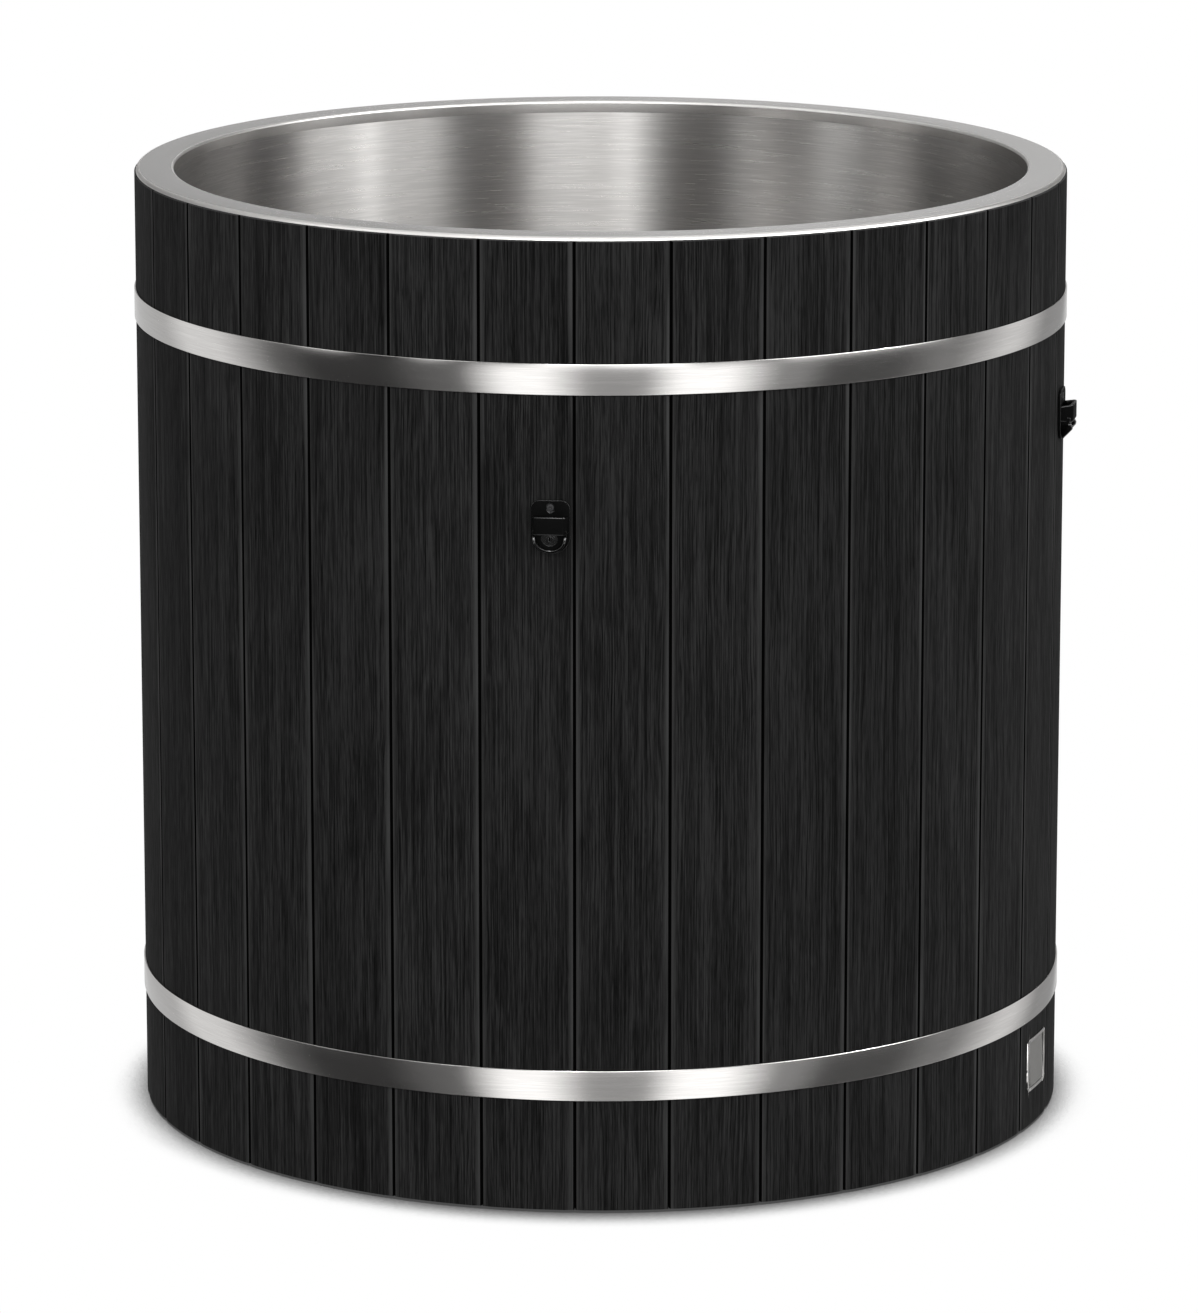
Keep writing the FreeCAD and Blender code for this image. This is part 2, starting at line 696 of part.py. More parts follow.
def make_hoop(side, height):
    """A split band with a lug at each end, drilled for the bolt."""
    inner = S.outer_radius + S.hoop_seat
    outer = inner + S.hoop_thickness
    hoop = new_body(f"hoop_{side}", hoop_angle(), 0, height)
    band = rectangle(sketch_on(hoop, "XZ_Plane"), inner, -(S.hoop_width / 2), outer, S.hoop_width / 2)
    open_angle = S.closure_gap / inner * math.degrees(1)
    revolve(hoop, band, FULL_TURN - open_angle)
    soften(hoop, S.hoop_edge, lambda edge: hoop_edge(edge, outer.value))
    lugs = sketch_on(hoop, "XY_Plane", lift=-(S.lug_height / 2))
    root_x = -(inner + S.hoop_thickness / 2)
    tip_x = -(outer + S.lug_reach)
    near, far = S.closure_gap / 2, S.closure_gap / 2 + S.lug_thickness
    rectangle(lugs, tip_x, near, root_x, far)
    rectangle(lugs, tip_x, -far, root_x, -near)
    pad(hoop, lugs, S.lug_height)
    soften(hoop, S.lug_corner, lambda edge: lug_corner_edge(edge, tip_x.value))
    hole = circle(sketch_on(hoop, "XZ_Plane"), -(outer + S.bolt_reach), 0, S.bolt_radius + S.bolt_play)
    pocket(hoop, hole)
    return keep(hoop, f"hoop_{side}")


def hoop_edge(edge, outer):
    """A long outer edge of a hoop's band."""
    level = abs(edge.Vertexes[0].Z - edge.Vertexes[-1].Z) < NEAR
    return level and all_at(edge, lambda p: axis_distance(p) > outer - NEAR)


def lug_corner_edge(edge, tip_x):
    """An edge at a lug's outer end that runs through its thickness."""
    ends = [vertex.Point for vertex in edge.Vertexes]
    return len(ends) == 2 and all(abs(p.x - tip_x) < NEAR for p in ends) and abs(ends[0].z - ends[1].z) < NEAR


def make_hoop_fixings():
    """A bolt and a nut for each hoop, across its lugs."""
    across = -(S.outer_radius + S.hoop_seat + S.hoop_thickness + S.bolt_reach)
    lug_face = S.closure_gap / 2 + S.lug_thickness
    fixings = []
    for side, height in hoops:
        bolt = new_body(f"hoop_bolt_{side}", hoop_angle(), 0, height)
        head = hexagon(sketch_on(bolt, "XZ_Plane", lift=-lug_face), across, 0, S.bolt_flats)
        pad(bolt, head, S.bolt_head, back=True)
        shank = circle(sketch_on(bolt, "XZ_Plane", lift=-lug_face), across, 0, S.bolt_radius)
        pad(bolt, shank, lug_face * 2 + S.nut_height + S.bolt_tail)
        nut = new_body(f"hoop_nut_{side}", hoop_angle(), 0, height)
        sketch = hexagon(sketch_on(nut, "XZ_Plane", lift=lug_face), across, 0, S.bolt_flats)
        circle(sketch, across, 0, S.bolt_radius + S.nut_gap)
        pad(nut, sketch, S.nut_height)
        fixings += [bolt, nut]
    keep_group("hoop_bolts", fixings)


def chin_slope(drop):
    """How far the chin's face has leant back at a drop below the latch's middle."""
    lean = (drop - S.block_drop) * sine(S.chin_tilt) / cosine(S.chin_tilt)
    return S.chin_reach - lean


def lock_sketch(body, depth):
    """A sketch square to the lock's axis, a depth below the chin's face."""
    lift = chin_slope(S.lock_drop) - depth * cosine(S.chin_tilt)
    across = depth * sine(S.chin_tilt) - S.lock_drop
    return sketch_on(body, "XZ_Plane", lift=lift, across=across, tilt=S.chin_tilt)


def latch_plate(latch):
    half_width, half_height = S.latch_width / 2, S.latch_height / 2
    corner, foot = S.latch_corner, S.latch_foot_corner
    points = [
        (foot - half_width, -half_height),
        (half_width - foot, -half_height),
        (half_width, foot - half_height),
        (half_width, half_height - corner),
        (half_width - corner, half_height),
        (corner - half_width, half_height),
        (-half_width, half_height - corner),
        (-half_width, foot - half_height),
    ]
    centres = {
        1: (half_width - foot, foot - half_height),
        3: (half_width - corner, half_height - corner),
        5: (corner - half_width, half_height - corner),
        7: (foot - half_width, foot - half_height),
    }
    pad(latch, outline(sketch_on(latch, "XZ_Plane"), points, centres), S.latch_plate)
    front = -S.latch_plate.value
    soften(latch, S.latch_edge, lambda edge: all_at(edge, lambda p: abs(p.y - front) < NEAR))


def latch_block(latch):
    """The block with the socket: wider at the plate, rounded at its front corners, open at the top."""
    root_y = -(S.latch_plate / 2)
    front_half = S.block_front_width / 2
    side_y = S.block_corner - S.block_reach
    flat_half = front_half - S.block_corner
    points = [
        (-(S.block_base_width / 2), root_y),
        (-front_half, side_y),
        (-flat_half, -S.block_reach),
        (flat_half, -S.block_reach),
        (front_half, side_y),
        (S.block_base_width / 2, root_y),
    ]
    centres = {1: (-flat_half, side_y), 3: (flat_half, side_y)}
    plan = outline(sketch_on(latch, "XY_Plane", lift=-S.block_drop), points, centres)
    pad(latch, plan, S.block_top + S.block_drop)
    top, plate_face = S.block_top.value, -S.latch_plate.value
    soften(latch, S.lip_radius, lambda edge: lip_edge(edge, top, plate_face))
    mouth = sketch_on(latch, "XY_Plane", lift=S.block_top)
    half = S.mouth_width / 2
    rectangle(mouth, -half, -(S.latch_plate + S.mouth_depth), half, -S.latch_plate)
    pocket(latch, mouth, S.block_top + S.mouth_drop)


def lip_edge(edge, top, plate_face):
    """An upper edge of the block, all but the one along the plate."""
    level = all_at(edge, lambda p: abs(p.z - top) < NEAR)
    return level and any(vertex.Point.y < plate_face - NEAR for vertex in edge.Vertexes)


def round_foot(sketch, half, arc_height, top):
    """An upright outline with a level top and a half-round foot."""
    points = [(-half, arc_height), (0, arc_height - half), (half, arc_height), (half, top), (-half, top)]
    return outline(sketch, points, {0: (0, arc_height), 1: (0, arc_height)})


def latch_chin(latch):
    """The round chin, leant back, with a raised lip round its face and a stepped seat for the lock."""
    half = S.chin_width / 2
    arc_height = S.chin_margin - S.latch_height / 2 + half
    top = -S.block_drop
    front = sketch_on(latch, "XZ_Plane", lift=S.latch_plate / 2)
    round_foot(front, half, arc_height, top)
    pad(latch, front, S.block_reach - S.latch_plate / 2)
    clear = -(S.block_reach * 2)
    low = -(S.block_drop + S.latch_height)
    lean = sketch_on(latch, "YZ_Plane")
    low_face = -chin_slope(S.block_drop + S.latch_height)
    outline(lean, [(-S.chin_reach, top), (clear, top), (clear, low), (low_face, low)])
    pocket(latch, lean)

    inner = half - S.chin_lip
    face_arc = (arc_height + S.lock_drop) / cosine(S.chin_tilt)
    face_top = (S.lock_drop - S.block_drop) / cosine(S.chin_tilt)
    face = lock_sketch(latch, 0)
    round_foot(face, inner, face_arc, face_top)
    pocket(latch, face, S.chin_recess)
    seat = circle(lock_sketch(latch, 0), 0, 0, S.lock_head_radius + S.lock_head_gap)
    pocket(latch, seat, S.lock_recess)
    bore = circle(lock_sketch(latch, 0), 0, 0, S.lock_shaft_radius + S.lock_running_gap)
    pocket(latch, bore, S.lock_recess + S.lock_shaft_length + S.lock_end_play * 2)


def make_latch(side, angle, height):
    """A moulded latch base: plate, socket block, chin, screw slot and the peg at its back."""
    latch = new_body(f"{side}_latch_base", angle, latch_reach, height)
    latch_plate(latch)
    latch_block(latch)
    latch_chin(latch)
    steps = ((S.screw_seat_radius, S.screw_seat_depth), (S.screw_slot_radius, S.latch_plate * 2))
    for radius, depth in steps:
        slot = sketch_on(latch, "XZ_Plane", lift=S.latch_plate)
        pocket(latch, upright_slot(slot, S.screw_rise, S.screw_travel, radius), depth)
    pad(latch, circle(sketch_on(latch, "XZ_Plane"), 0, -S.peg_drop, S.peg_radius), S.peg_length, back=True)
    keep(latch, f"{side}_latch_base")


def make_lock(side, angle, height):
    """The turning lock: a stepped head with a key slot, on a shaft."""
    lock = new_body(f"{side}_lock_plug", angle, latch_reach, height)
    under = S.lock_recess - S.lock_end_play
    pad(lock, circle(lock_sketch(lock, under), 0, 0, S.lock_head_radius), S.lock_head_height)
    step = under - S.lock_head_height
    pad(lock, circle(lock_sketch(lock, step), 0, 0, S.lock_step_radius), S.lock_step_height)
    core = step - S.lock_step_height
    pad(lock, circle(lock_sketch(lock, core), 0, 0, S.lock_core_radius), S.lock_core_height)
    pad(lock, circle(lock_sketch(lock, under), 0, 0, S.lock_shaft_radius), S.lock_shaft_length, back=True)
    half_width, half_length = S.key_slot_width / 2, S.key_slot_length / 2
    slot = lock_sketch(lock, core - S.lock_core_height)
    rectangle(slot, -half_width, -half_length, half_width, half_length)
    pocket(lock, slot, S.key_slot_depth)
    keep(lock, f"{side}_lock_plug")


def make_latch_screws():
    screws = []
    under_head = S.latch_plate - S.screw_seat_depth
    for side, angle, height in latches:
        screw = new_body(f"{side}_latch_screw", angle, latch_reach, height + S.screw_rise)
        head = circle(sketch_on(screw, "XZ_Plane", lift=under_head), 0, 0, S.screw_head_radius)
        pad(screw, head, S.screw_head_height)
        front = -(under_head + S.screw_head_height).value
        soften(screw, S.screw_head_edge, lambda edge, y=front: all_at(edge, lambda p: abs(p.y - y) < NEAR))
        shank = circle(sketch_on(screw, "XZ_Plane", lift=under_head), 0, 0, S.screw_radius)
        pad(screw, shank, S.screw_length, back=True)
        screws.append(screw)
    keep_group("latch_screws", screws)


def make_badge():
    """A bare steel plate, bent to the staves' curve."""
    inner = S.outer_radius + S.badge_seat
    outer = inner + S.badge_thickness
    half = S.badge_width / 2 / S.outer_radius * math.degrees(1)
    points = [
        (-inner * sine(half), -inner * cosine(half)),
        (-outer * sine(half), -outer * cosine(half)),
        (outer * sine(half), -outer * cosine(half)),
        (inner * sine(half), -inner * cosine(half)),
    ]
    badge = new_body("badge_plate", S.badge_angle, 0, S.badge_centre_height)
    plan = sketch_on(badge, "XY_Plane", lift=-(S.badge_height / 2))
    pad(badge, outline(plan, points, {1: (0, 0), 3: (0, 0)}), S.badge_height)
    thin = S.badge_thickness.value
    soften(badge, S.badge_corner, lambda edge: abs(edge.Length - thin) < NEAR)
    keep(badge, "badge_plate")


def make_waste():
    """Flanged waste in the liner floor, the strainer on it and the locknut under the deck."""
    flange_top = waste_seat + S.waste_flange
    tail = S.drain_height + S.waste_tail_height
    points = [
        (S.waste_bore, tail),
        (S.waste_radius, tail),
        (S.waste_radius, waste_seat),
        (S.waste_flange_radius, waste_seat),
        (S.waste_flange_radius, flange_top - S.waste_bevel),
        (S.waste_flange_radius - S.waste_bevel, flange_top),
        (S.waste_bore, flange_top),
    ]
    turned("drain_waste", points)

    strainer = new_body("drain_strainer")
    skirt = S.waste_bore - S.fit_gap
    points = [
        (0, flange_top),
        (skirt - S.strainer_sheet, flange_top),
        (skirt - S.strainer_sheet, flange_top - S.strainer_skirt),
        (skirt, flange_top - S.strainer_skirt),
        (skirt, flange_top),
        (S.strainer_radius, flange_top),
        (S.strainer_radius - S.strainer_sheet, flange_top + S.strainer_sheet),
        (0, flange_top + S.strainer_sheet),
    ]
    revolve(strainer, outline(sketch_on(strainer, "XZ_Plane"), points))
    rings = (
        (S.strainer_inner_ring, S.strainer_inner_count),
        (S.strainer_outer_ring, S.strainer_outer_count),
    )
    for radius, count in rings:
        top = sketch_on(strainer, "XY_Plane", lift=flange_top + S.strainer_sheet)
        hole = pocket(strainer, circle(top, radius, 0, S.strainer_hole_radius), S.strainer_sheet * 2)
        polar_pattern(strainer, hole, count)
    keep(strainer, "drain_strainer")

    locknut = new_body("drain_locknut")
    sketch = sketch_on(locknut, "XY_Plane", lift=deck_bottom - S.locknut_height)
    hexagon(sketch, 0, 0, S.locknut_flats)
    circle(sketch, 0, 0, S.waste_radius + S.nut_gap)
    pad(locknut, sketch, S.locknut_height)
    keep(locknut, "drain_locknut")


def make_elbow():
    """The elbow under the deck: the waste's tail enters it from above, the pipe leaves it sideways."""
    elbow = new_body("drain_elbow", S.drain_angle, 0, S.drain_height)
    top = deck_bottom - S.locknut_height - S.elbow_gap - S.drain_height
    upright = circle(sketch_on(elbow, "XY_Plane", lift=-S.elbow_base), 0, 0, S.waste_radius + S.elbow_wall)
    pad(elbow, upright, top + S.elbow_base)
    low = -S.elbow_base.value
    soften(elbow, S.elbow_edge, lambda edge: all_at(edge, lambda p: abs(p.z - low) < NEAR))
    pad(elbow, circle(sketch_on(elbow, "XZ_Plane"), 0, 0, S.pipe_radius + S.elbow_wall), S.elbow_reach)
    bore = circle(sketch_on(elbow, "XY_Plane", lift=top), 0, 0, S.waste_bore)
    pocket(elbow, bore, top + S.pipe_bore + S.elbow_wall / 2)
    socket = circle(sketch_on(elbow, "XY_Plane", lift=top), 0, 0, S.waste_radius + S.socket_gap)
    pocket(elbow, socket, top - S.waste_tail_height)
    pocket(elbow, circle(sketch_on(elbow, "XZ_Plane", lift=S.elbow_reach), 0, 0, S.pipe_bore), S.elbow_reach)
    end = circle(sketch_on(elbow, "XZ_Plane", lift=S.elbow_reach), 0, 0, S.pipe_radius + S.socket_gap)
    pocket(elbow, end, S.socket_depth)
    keep(elbow, "drain_elbow")


def make_pipe():
    pipe = new_body("drain_pipe", S.drain_angle, 0, S.drain_height)
    start = S.elbow_reach - S.socket_depth
    end = S.outer_radius + S.valve_reach - S.valve_inlet + S.socket_depth
    sketch = circle(sketch_on(pipe, "XZ_Plane", lift=start), 0, 0, S.pipe_radius)
    circle(sketch, 0, 0, S.pipe_bore)
    pad(pipe, sketch, end - start)
    keep(pipe, "drain_pipe")


valve_place = (S.drain_angle, S.outer_radius + S.valve_reach, S.drain_height)
chamber = S.ball_radius + S.ball_gap
stem_foot = chamber
tang_foot = S.bonnet_height + S.stem_shoulder
lever_top = tang_foot + S.lever_thickness
nut_top = lever_top + S.lever_nut_height


def make_valve_body():
    """The ball valve's body, turned about the pipe's axis, with the neck for its stem, and its outlet end."""
    body = new_body("valve_body", *valve_place)
    stop = S.valve_inlet - S.socket_depth
    points = [
        (S.pipe_radius + S.socket_gap, S.valve_inlet),
        (S.pipe_radius + S.socket_gap, stop),
        (S.valve_port, stop),
        (S.valve_port, chamber),
        (chamber, chamber),
        (chamber, -S.valve_cap_place),
        (S.valve_radius, -S.valve_cap_place),
        (S.valve_radius, stop - S.valve_shoulder),
        (S.valve_neck_radius, stop),
        (S.valve_neck_radius, S.valve_inlet),
    ]
    revolve(body, outline(sketch_on(body, "XY_Plane"), points))
    flats = hexagon(sketch_on(body, "XZ_Plane", lift=-S.valve_inlet), 0, 0, S.valve_flats)
    pad(body, circle(flats, 0, 0, S.pipe_radius + S.socket_gap), S.valve_flats_length)
    neck_foot = (chamber + S.valve_radius) / 2
    neck = circle(sketch_on(body, "XY_Plane", lift=neck_foot), 0, 0, S.bonnet_radius)
    pad(body, neck, S.bonnet_height - neck_foot)
    bore = circle(sketch_on(body, "XY_Plane", lift=S.bonnet_height), 0, 0, S.stem_radius + S.stem_gap)
    pocket(body, bore, S.bonnet_height)
    keep(body, "valve_body")

    outlet = new_body("valve_outlet", *valve_place)
    thread = chamber - S.thread_gap
    collar_end = S.valve_cap_place + S.outlet_collar
    end = collar_end + S.outlet_length
    points = [
        (S.valve_port, -chamber),
        (thread, -chamber),
        (thread, -collar_end),
        (S.outlet_radius, -collar_end),
        (S.outlet_radius, -end),
        (S.valve_port, -end),
    ]
    revolve(outlet, outline(sketch_on(outlet, "XY_Plane"), points))
    flats = hexagon(sketch_on(outlet, "XZ_Plane", lift=S.valve_cap_place), 0, 0, S.outlet_flats)
    pad(outlet, circle(flats, 0, 0, S.valve_port), S.outlet_collar)
    keep(outlet, "valve_outlet")


def make_valve_ball():
    """The ball, closed: its port lies across the pipe. A slot on top takes the stem's tongue."""
    ball = new_body("valve_ball", *valve_place)
    radius = S.ball_radius
    half_disc = [(0, -radius), (radius, 0), (0, radius)]
    revolve(ball, outline(sketch_on(ball, "XZ_Plane"), half_disc, {0: (0, 0), 1: (0, 0)}))
    pocket(ball, circle(sketch_on(ball, "YZ_Plane"), 0, 0, S.valve_port))
    slot = sketch_on(ball, "XY_Plane", lift=radius)
    half_width = S.tongue_thickness / 2 + S.tongue_play
    rectangle(slot, -radius, -half_width, radius, half_width)
    pocket(ball, slot, S.ball_slot_depth)
    keep(ball, "valve_ball")


def make_valve_stem():
    """Tongue, shaft, square and threaded end."""
    stem = new_body("valve_stem", *valve_place)
    tongue_foot = S.ball_radius - S.ball_slot_depth + S.tongue_play
    pad(stem, circle(sketch_on(stem, "XY_Plane", lift=stem_foot), 0, 0, S.stem_radius), tang_foot - stem_foot)
    tongue = sketch_on(stem, "XY_Plane", lift=tongue_foot)
    half_span, half_thick = S.tongue_span / 2, S.tongue_thickness / 2
    rectangle(tongue, -half_span, -half_thick, half_span, half_thick)
    pad(stem, tongue, stem_foot - tongue_foot)
    half = S.tang_width / 2
    square = rectangle(sketch_on(stem, "XY_Plane", lift=tang_foot), -half, -half, half, half)
    pad(stem, square, S.lever_thickness)
    stud = circle(sketch_on(stem, "XY_Plane", lift=lever_top), 0, 0, S.stud_radius)
    pad(stem, stud, S.lever_nut_height + S.stud_height)
    keep(stem, "valve_stem")


def lever_tip(tip, half):
    """Points and arc centre of a rounded tip on the left, from its upper side to its lower side."""
    return [(half - tip, half), (-tip, 0), (half - tip, -half)], (half - tip, 0)


def make_valve_lever():
    """A flat lever with a round hub and a dipped grip, across the pipe when closed; and its nut."""
    lever = new_body("valve_lever", *valve_place)
    hub = S.lever_hub_radius
    root_half = S.lever_root_width / 2
    tip_points, tip_centre = lever_tip(S.lever_length, S.lever_tip_width / 2)
    points = [(0, -hub), (hub, 0), (0, hub), (-hub, root_half), *tip_points, (-hub, -root_half)]
    sketch = sketch_on(lever, "XY_Plane", lift=tang_foot)
    outline(sketch, points, {0: (0, 0), 1: (0, 0), 4: tip_centre, 5: tip_centre})
    half = S.tang_width / 2 + S.tang_gap
    rectangle(sketch, -half, -half, half, half)
    pad(lever, sketch, S.lever_thickness)
    grip_half = root_half + S.grip_skin
    tip_points, tip_centre = lever_tip(S.lever_length + S.grip_skin, grip_half)
    points = [(-S.grip_start, grip_half), *tip_points, (-S.grip_start, -grip_half)]
    grip = sketch_on(lever, "XY_Plane", lift=tang_foot - S.grip_skin)
    outline(grip, points, {1: tip_centre, 2: tip_centre})
    pad(lever, grip, S.lever_thickness + S.grip_skin * 2)
    keep(lever, "valve_lever")

    nut = new_body("lever_nut", *valve_place)
    sketch = hexagon(sketch_on(nut, "XY_Plane", lift=lever_top), 0, 0, S.lever_nut_flats)
    circle(sketch, 0, 0, S.stud_radius + S.nut_gap)
    pad(nut, sketch, S.lever_nut_height)
    keep(nut, "lever_nut")


def check_model():
    """Stops if any feature failed, any shape is unsound or any cut removed nothing."""
    for thing in doc.Objects:
        if {"Invalid", "Error"} & set(thing.State):
            raise RuntimeError(f"{thing.Name} failed: {thing.State}")
        if thing.TypeId == "PartDesign::Pocket" and thing.Shape.Volume >= thing.BaseFeature.Shape.Volume:
            raise RuntimeError(f"{thing.Name} cuts nothing")
    for node in nodes:
        if node.Shape.isNull() or not node.Shape.isValid():
            raise RuntimeError(f"{node.Label} has no sound shape")


def write_parts():
    os.makedirs("parts", exist_ok=True)
    for node in nodes:
        node.Shape.exportStep(os.path.join("parts", f"{node.Label}.step"))


make_staves()
make_rim()
make_liner()
make_insulation()
make_base()
for hoop_side, hoop_height in hoops:
    make_hoop(hoop_side, hoop_height)
make_hoop_fixings()
for latch_side, latch_angle, latch_height in latches:
    make_latch(latch_side, latch_angle, latch_height)
    make_lock(latch_side, latch_angle, latch_height)
make_latch_screws()
make_badge()
make_waste()
make_elbow()
make_pipe()
make_valve_body()
make_valve_ball()
make_valve_stem()
make_valve_lever()
doc.recompute()
check_model()
write_parts()
for node in nodes:
    print(f"{node.Label}: {len(node.Shape.Solids)} solids, {node.Shape.Volume / 1000:.1f} cm3")
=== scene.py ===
import math

import bmesh
import bpy
from bpy.props import FloatProperty, FloatVectorProperty, IntProperty, PointerProperty
from mathutils import Matrix, Vector


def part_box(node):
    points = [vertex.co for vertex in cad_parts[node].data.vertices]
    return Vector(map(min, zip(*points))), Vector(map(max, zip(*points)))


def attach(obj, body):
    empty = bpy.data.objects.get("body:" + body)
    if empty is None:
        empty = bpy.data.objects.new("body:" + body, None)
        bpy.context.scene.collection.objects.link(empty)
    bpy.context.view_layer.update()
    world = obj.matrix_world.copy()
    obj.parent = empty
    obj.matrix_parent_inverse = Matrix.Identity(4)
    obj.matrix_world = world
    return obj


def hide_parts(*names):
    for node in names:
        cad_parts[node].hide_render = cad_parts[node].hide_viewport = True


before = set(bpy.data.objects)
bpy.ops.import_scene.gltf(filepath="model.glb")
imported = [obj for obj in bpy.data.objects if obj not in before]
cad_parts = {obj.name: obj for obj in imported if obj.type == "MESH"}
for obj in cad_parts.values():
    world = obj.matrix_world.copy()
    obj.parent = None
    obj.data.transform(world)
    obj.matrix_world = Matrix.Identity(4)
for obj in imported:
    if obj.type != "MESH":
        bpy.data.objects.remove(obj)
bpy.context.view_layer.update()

bl_info = {
    "name": "Barrel cold plunge tub",
    "version": (1, 0, 0),
    "blender": (4, 5, 0),
    "location": "3D View > Sidebar > Plunge tub",
    "description": "Dresses the plunge tub: staves, hoops, liner, latches and drain, with their finishes",
    "category": "Object",
}

MM = 0.001

# Angles go round the tub from the front (-Y) towards the right (+X).
FRONT = -math.pi / 2
# How near a point counts as lying on a face or an edge.
NEAR = 0.1 * MM
# Facets round the tub, close enough that no corner shows.
RING_STEPS = 384
# Degrees past which an edge stays sharp: on sheet, on moulded and cast pieces, on boards and on threads.
SHEET_CREASE, CAST_CREASE, BOARD_CREASE, THREAD_CREASE = 30, 35, 4, 20


def linear(colour):
    """An sRGB hex colour as linear red, green and blue."""
    channels = [int(colour[i : i + 2], 16) / 255 for i in (1, 3, 5)]
    return tuple(c / 12.92 if c <= 0.04045 else ((c + 0.055) / 1.055) ** 2.4 for c in channels)


def off_axis(point):
    """How far a point lies from the tub's axis."""
    return math.hypot(point.x, point.y)


def reach(node, choose=max):
    """How far a node's farthest or nearest points lie from the tub's axis."""
    return choose(off_axis(v.co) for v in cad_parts[node].data.vertices)


def low(node):
    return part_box(node)[0].z


def high(node):
    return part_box(node)[1].z


def distance(label, meaning, value):
    return FloatProperty(name=label, description=meaning, default=value, unit="LENGTH", precision=4)


def colour(label, meaning, value):
    start = linear(value)
    return FloatVectorProperty(name=label, description=meaning, default=start, subtype="COLOR", size=3)


class TubSizes(bpy.types.PropertyGroup):
    """Sizes of the dressed pieces."""

    outer_radius: distance("Outer radius", "Tub axis to the outer face of the staves", reach("rim_ring"))
    stave_thickness: distance("Stave thickness", "Outer face to inner face of a stave", 22 * MM)
    stave_count: IntProperty(name="Staves", description="Staves in the ring", default=32)
    stave_phase: FloatProperty(
        name="First seam", description="Angle of the first seam", default=math.radians(2.75), subtype="ANGLE"
    )
    seam_gap: distance("Seam", "Open seam between two staves", 0.8 * MM)
    bevel_width: distance("Bevel width", "Planed bevel along each seam", 10 * MM)
    bevel_drop: distance("Bevel drop", "How far that bevel falls", 1 * MM)
    arris: distance("Arris", "Chamfer of a stave's edge at the seam", 1.5 * MM)
    tongue_width: distance("Tongue width", "Tongue of a stave, through its thickness", 6 * MM)
    tongue_depth: distance("Tongue depth", "How far the tongue stands out", 5.6 * MM)
    tongue_room: distance("Tongue room", "Room round the tongue in its groove", 0.3 * MM)
    sheet: distance("Sheet", "Steel of the liner and the rim", 2 * MM)
    rim_edge: distance("Rim edge", "Rounding of the rim's outer edge", 5 * MM)
    rim_inset: distance("Rim inset", "How far the rim stays back from the outer face of the staves", 1.5 * MM)
    stave_rise: distance("Stave rise", "How far the ends of the staves stand up round the rim", 3.5 * MM)
    rim_bead: distance("Rim bead", "Rounding of the rim's inner edge", 3 * MM)
    cove: distance("Cove", "Rounding between the liner's floor and wall", 25 * MM)
    floor_flat: distance("Level patch", "Level patch of the floor round the drain", 48 * MM)
    hoop_edge: distance("Hoop edge", "Rounding of a hoop's outer edges", 0.6 * MM)


class TubFinish(bpy.types.PropertyGroup):
    """Colours of the finishes."""

    char_dark: colour("Charred grooves", "Soft grain that the brush has cut away", "#090909")
    char_mid: colour("Charred wood", "Middle tone of the charred wood", "#171717")
    char_light: colour("Charred ridges", "Hard grain left standing", "#2a2a2a")
    # Painted sheen: the planed edge's lighter tone stands partly for the sheen of the planed wood.
    planed_tone_and_sheen: colour("Planed edge", "Smooth edge beside a seam", "#3c3c3c")
    # Painted shade: near black painted on the chamfers into each seam, where the groove lies in shade.
    painted_seam_shade: colour("Painted seam shade", "Seams between the staves", "#020202")
    steel: colour("Stainless steel", "Liner, rim and hoops", "#cfcdcb")
    zinc: colour("Zinc", "Bolts, nuts and screws", "#b4b6b8")
    blasted: colour("Blasted steel", "Field of the small plate", "#8c8b89")
    oxide: colour("Black oxide", "Latch screws", "#3e3e3f")
    nylon: colour("Latch nylon", "Moulded latches", "#0b0b0b")
    lock: colour("Lock nylon", "Turning locks", "#060606")
    nickel: colour("Nickel plate", "Drain valve", "#cdc8bd")
    chrome: colour("Chrome", "Valve's ball and stem", "#d9dadb")
    vinyl: colour("Dipped vinyl", "Grip of the valve's lever", "#1a1b1d")
    pipe: colour("Pipe", "Drain pipe and elbow", "#d6d4cd")
    foam: colour("Foam", "Insulation", "#d9c58f")
    spruce_light: colour("Spruce", "Pale early wood of the base", "#c9a777")
    spruce_dark: colour("Spruce rings", "Late wood of the base", "#9a7243")
    floor: colour("Floor", "Studio floor", "#c8c8c8")


# Nodes and materials


def rgba(three):
    return (*three, 1.0)


def grey(value):
    return (value, value, value)


def give(node, sockets):
    """Fills a node's sockets: another node's output is linked to one, and any other value is set on it."""
    for name, value in sockets.items():
        if isinstance(value, bpy.types.NodeSocket):
            node.id_data.links.new(value, node.inputs[name])
        else:
            node.inputs[name].default_value = value


def add(tree, kind, sockets=None, out=0, stops=(), **settings):
    """Adds a shader node, with (place, colour) stops on a ramp. Returns one output, or all for None."""
    made = tree.nodes.new(f"ShaderNode{kind}")
    for name, value in settings.items():
        setattr(made, name, value)
    for _ in stops[2:]:
        made.color_ramp.elements.new(1.0)
    for index, (place, shade) in enumerate(stops):
        made.color_ramp.elements[index].position = place
        made.color_ramp.elements[index].color = rgba(shade)
    give(made, sockets or {})
    return made.outputs if out is None else made.outputs[out]


def begin(name):
    """A new material's tree, its shader and the place on the piece."""
    made = bpy.data.materials.new(name)
    made.use_nodes = True
    tree = made.node_tree
    return tree, tree.nodes["Principled BSDF"], add(tree, "TexCoord", out="Object")


def streaks(tree, place, millimetres, detail=2.0, shift=0.0):
    """Noise whose blotches have a size along X, Y and Z."""
    scale = [1 / (length * MM) for length in millimetres]
    mapped = add(tree, "Mapping", {"Vector": place, "Scale": scale})
    sockets = {"Vector": mapped, "W": shift, "Scale": 1.0, "Detail": detail, "Roughness": 0.55}
    return add(tree, "TexNoise", sockets, "Fac", noise_dimensions="4D")


